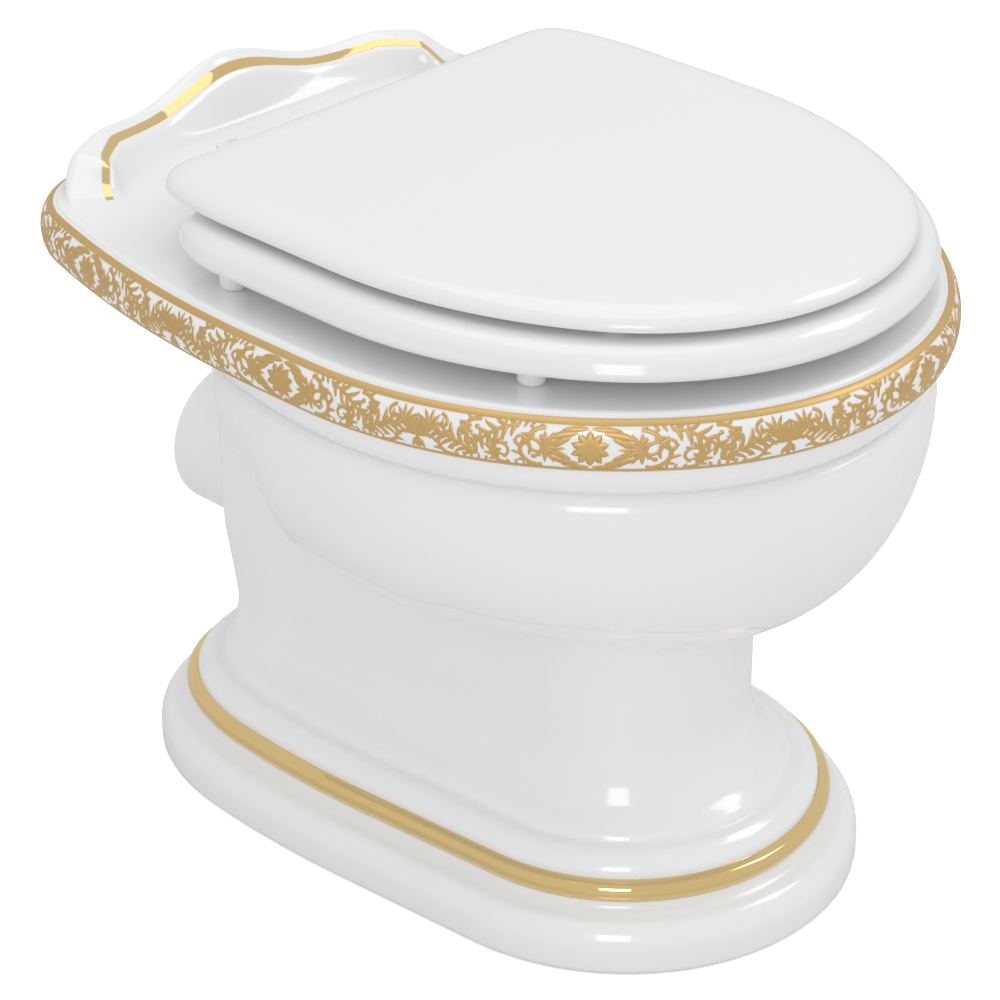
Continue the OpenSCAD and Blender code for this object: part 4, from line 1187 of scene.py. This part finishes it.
class TOILET_OT_lid(bpy.types.Operator):
    """Models the lid and its bumpers"""
    bl_idname = "toilet.lid"
    bl_label = "Lid"

    def execute(self, context):
        sizes = context.scene.toilet_seat
        edge = sizes.lid_edge * 1000
        line = outline(close_straight(nosed(162, 58, sizes.lid_half_width * 1000, [0, 87],
                                            [245, 13]), corner=33), setback=16)
        low, high, lip = LID_LOW.z, LID_HIGH.z, 1.8
        rise = high - low - lip
        round_edge = [(edge * (cos(radians(a)) - 1), low + lip + rise * sin(radians(a)))
                      for a in range(90, -1, -6)]
        round_edge += [(-0.15, low + 0.8), (-0.6, low + 0.2), (-1.6, low)]
        centre = Vector((0, LID_MIDDLE_Y + FRONT_Y, 0))
        sections = []
        for spot in line:
            first, last = at(spot, -edge, high), at(spot, -1.6, low)
            sections.append(
                [lift(between(centre, first, f), high) for f in (0.25, 0.5, 0.75, 0.93)]
                + [at(spot, out, z) for out, z in round_edge]
                + [lift(between(last, centre, f), low) for f in (0.1, 0.4, 0.75)])
        finish_piece("lid_cover", wrap(sections, section_closed=False, cap=True), "Seat plastic",
                     "lid_body", ("lid",))
        for side in ("left", "right"):
            pad("lid_pad_" + side, "lid_bumper_" + side, "lid_body", ((0, 0),), 40)
        return {"FINISHED"}


# The hinge parts that show: their body, finish and slot; the buttons have a body each
SOFT = (
    ("hinge_base", "pan", "Chrome", "chrome"),
    ("hinge_housing", "hinge_carriage", "Chrome", "chrome"),
    ("ring_lug", "ring", "Seat plastic", "seat_plastic"),
    ("lid_lug", "lid_body", "Seat plastic", "seat_plastic"),
    ("release_button", "button", "Chrome", "chrome"),
)
# The small parts that keep their CAD shape
PLAIN = {
    "Chrome": ("fixing_bolt_left", "fixing_bolt_right", "hinge_pin_left", "hinge_pin_right",
               "ring_lug_screws", "lid_lug_screws"),
    "Rubber": ("expansion_bung_left", "expansion_bung_right"),
    "Brass": ("bung_insert_left", "bung_insert_right"),
}


class TOILET_OT_hinges(bpy.types.Operator):
    """Softens the edges of the hinge parts and finishes the hidden fixings"""
    bl_idname = "toilet.hinges"
    bl_label = "Hinges and fixings"

    def execute(self, context):
        bevel = context.scene.toilet_seat.hardware_bevel
        for stem, body, look, slot in SOFT:
            for side in ("_left", "_right"):
                node = stem + side
                finish_piece(node + "_soft", soften(node, bevel), look,
                             body + side if body == "button" else body, (node,), 40)
        for look, nodes in PLAIN.items():
            for node in nodes:
                paint(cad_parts[node], look)
        return {"FINISHED"}


# The lamps: name, place, width, height and watts, all aimed at one point
LAMPS = (
    ("Front softbox", (-1.89, -1.64, 1.26), 0.68, 1.1, 8),
    ("Right softbox", (1.4, -1.09, 2.15), 0.8, 0.8, 6),
    ("Top softbox", (0.1, 0.2, 2.4), 1.6, 1.6, 6),
)
AIM = (0, 0, 0.25)
CAMERA_PLACE = (-1.3610, -1.30345, 1.2511)
WHITE = (1, 1, 1, 1)
# The light of the pale room, which the camera sees as plain white, and what lifts the floor to it
SURROUND_LIGHT = 0.74
FLOOR_GLOW = 0.5


class TOILET_OT_stage(bpy.types.Operator):
    """Sets out the floor, the lamps, the pale surroundings and the camera"""
    bl_idname = "toilet.stage"
    bl_label = "Stage"

    def lamp(self, name, place, width, height, power):
        data = bpy.data.lights.new(name, "AREA")
        data.shape = "RECTANGLE"
        data.size, data.size_y, data.energy = width, height, power
        lamp = bpy.data.objects.new(name, data)
        bpy.context.scene.collection.objects.link(lamp)
        lamp.location = place
        lamp.rotation_euler = (Vector(AIM) - Vector(place)).to_track_quat("-Z", "Y").to_euler()
        return lamp

    def by_ray(self, tree, socket, lit, seen):
        """Gives a socket one value for the light and another for what the camera sees."""
        path = tree.nodes.new("ShaderNodeLightPath")
        value = tree.nodes.new("ShaderNodeMath")
        value.operation = "MULTIPLY_ADD"
        value.inputs[1].default_value = seen - lit
        value.inputs[2].default_value = lit
        tree.links.new(path.outputs["Is Camera Ray"], value.inputs[0])
        tree.links.new(value.outputs[0], socket)

    def execute(self, context):
        scene = context.scene
        stage = scene.toilet_stage
        deselect()
        bpy.ops.mesh.primitive_plane_add(size=16, location=(0, 0, -0.0005))
        floor = bpy.context.object
        floor.name = "floor"
        settle()
        pale = finish("Pale floor", stage.floor, 0.55)
        floor.data.materials.append(pale)
        surface = pale.node_tree.nodes["Principled BSDF"].inputs
        surface["Emission Color"].default_value = WHITE
        self.by_ray(pale.node_tree, surface["Emission Strength"], 0, FLOOR_GLOW)
        world = bpy.data.worlds.new("Studio")
        scene.world = world
        world.use_nodes = True
        room = world.node_tree.nodes["Background"].inputs
        room["Color"].default_value = WHITE
        self.by_ray(world.node_tree, room["Strength"], SURROUND_LIGHT, 1)
        lamps = [self.lamp(*row) for row in LAMPS]
        data = bpy.data.cameras.new("Camera")
        data.lens = stage.lens
        data.sensor_width = 36
        camera = bpy.data.objects.new("Camera", data)
        scene.collection.objects.link(camera)
        camera.location = CAMERA_PLACE
        camera.rotation_euler = (pi / 2 - stage.elevation, 0, -stage.azimuth)
        scene.camera = camera
        scene.view_settings.view_transform = "Standard"
        return {"FINISHED"}


class TOILET_PT_panel(bpy.types.Panel):
    """Lists the settings and the pieces"""
    bl_idname = "TOILET_PT_panel"
    bl_label = "Toilet"
    bl_space_type = "VIEW_3D"
    bl_region_type = "UI"
    bl_category = "Toilet"

    def draw(self, context):
        for name in GROUPS:
            box = self.layout.box()
            group = getattr(context.scene, name)
            for key in group.__annotations__:
                box.prop(group, key)
        for operator in STEPS:
            self.layout.operator(operator.bl_idname)


GROUPS = {
    "toilet_pan": TOILET_PG_pan,
    "toilet_seat": TOILET_PG_seat,
    "toilet_gilding": TOILET_PG_gilding,
    "toilet_finish": TOILET_PG_finish,
    "toilet_stage": TOILET_PG_stage,
}
STEPS = (TOILET_OT_finishes, TOILET_OT_pan, TOILET_OT_waterway, TOILET_OT_gilt_lines,
         TOILET_OT_frieze, TOILET_OT_seat, TOILET_OT_lid, TOILET_OT_hinges, TOILET_OT_stage)
CLASSES = (*GROUPS.values(), *STEPS, TOILET_PT_panel)


def register():
    for item in CLASSES:
        bpy.utils.register_class(item)
    for name, group in GROUPS.items():
        setattr(bpy.types.Scene, name, bpy.props.PointerProperty(type=group))


def unregister():
    for name in GROUPS:
        delattr(bpy.types.Scene, name)
    for item in reversed(CLASSES):
        bpy.utils.unregister_class(item)


def main():
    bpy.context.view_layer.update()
    register()
    for step in STEPS:
        getattr(bpy.ops.toilet, step.bl_idname.split(".")[1])()


if __name__ == "__main__":
    main()
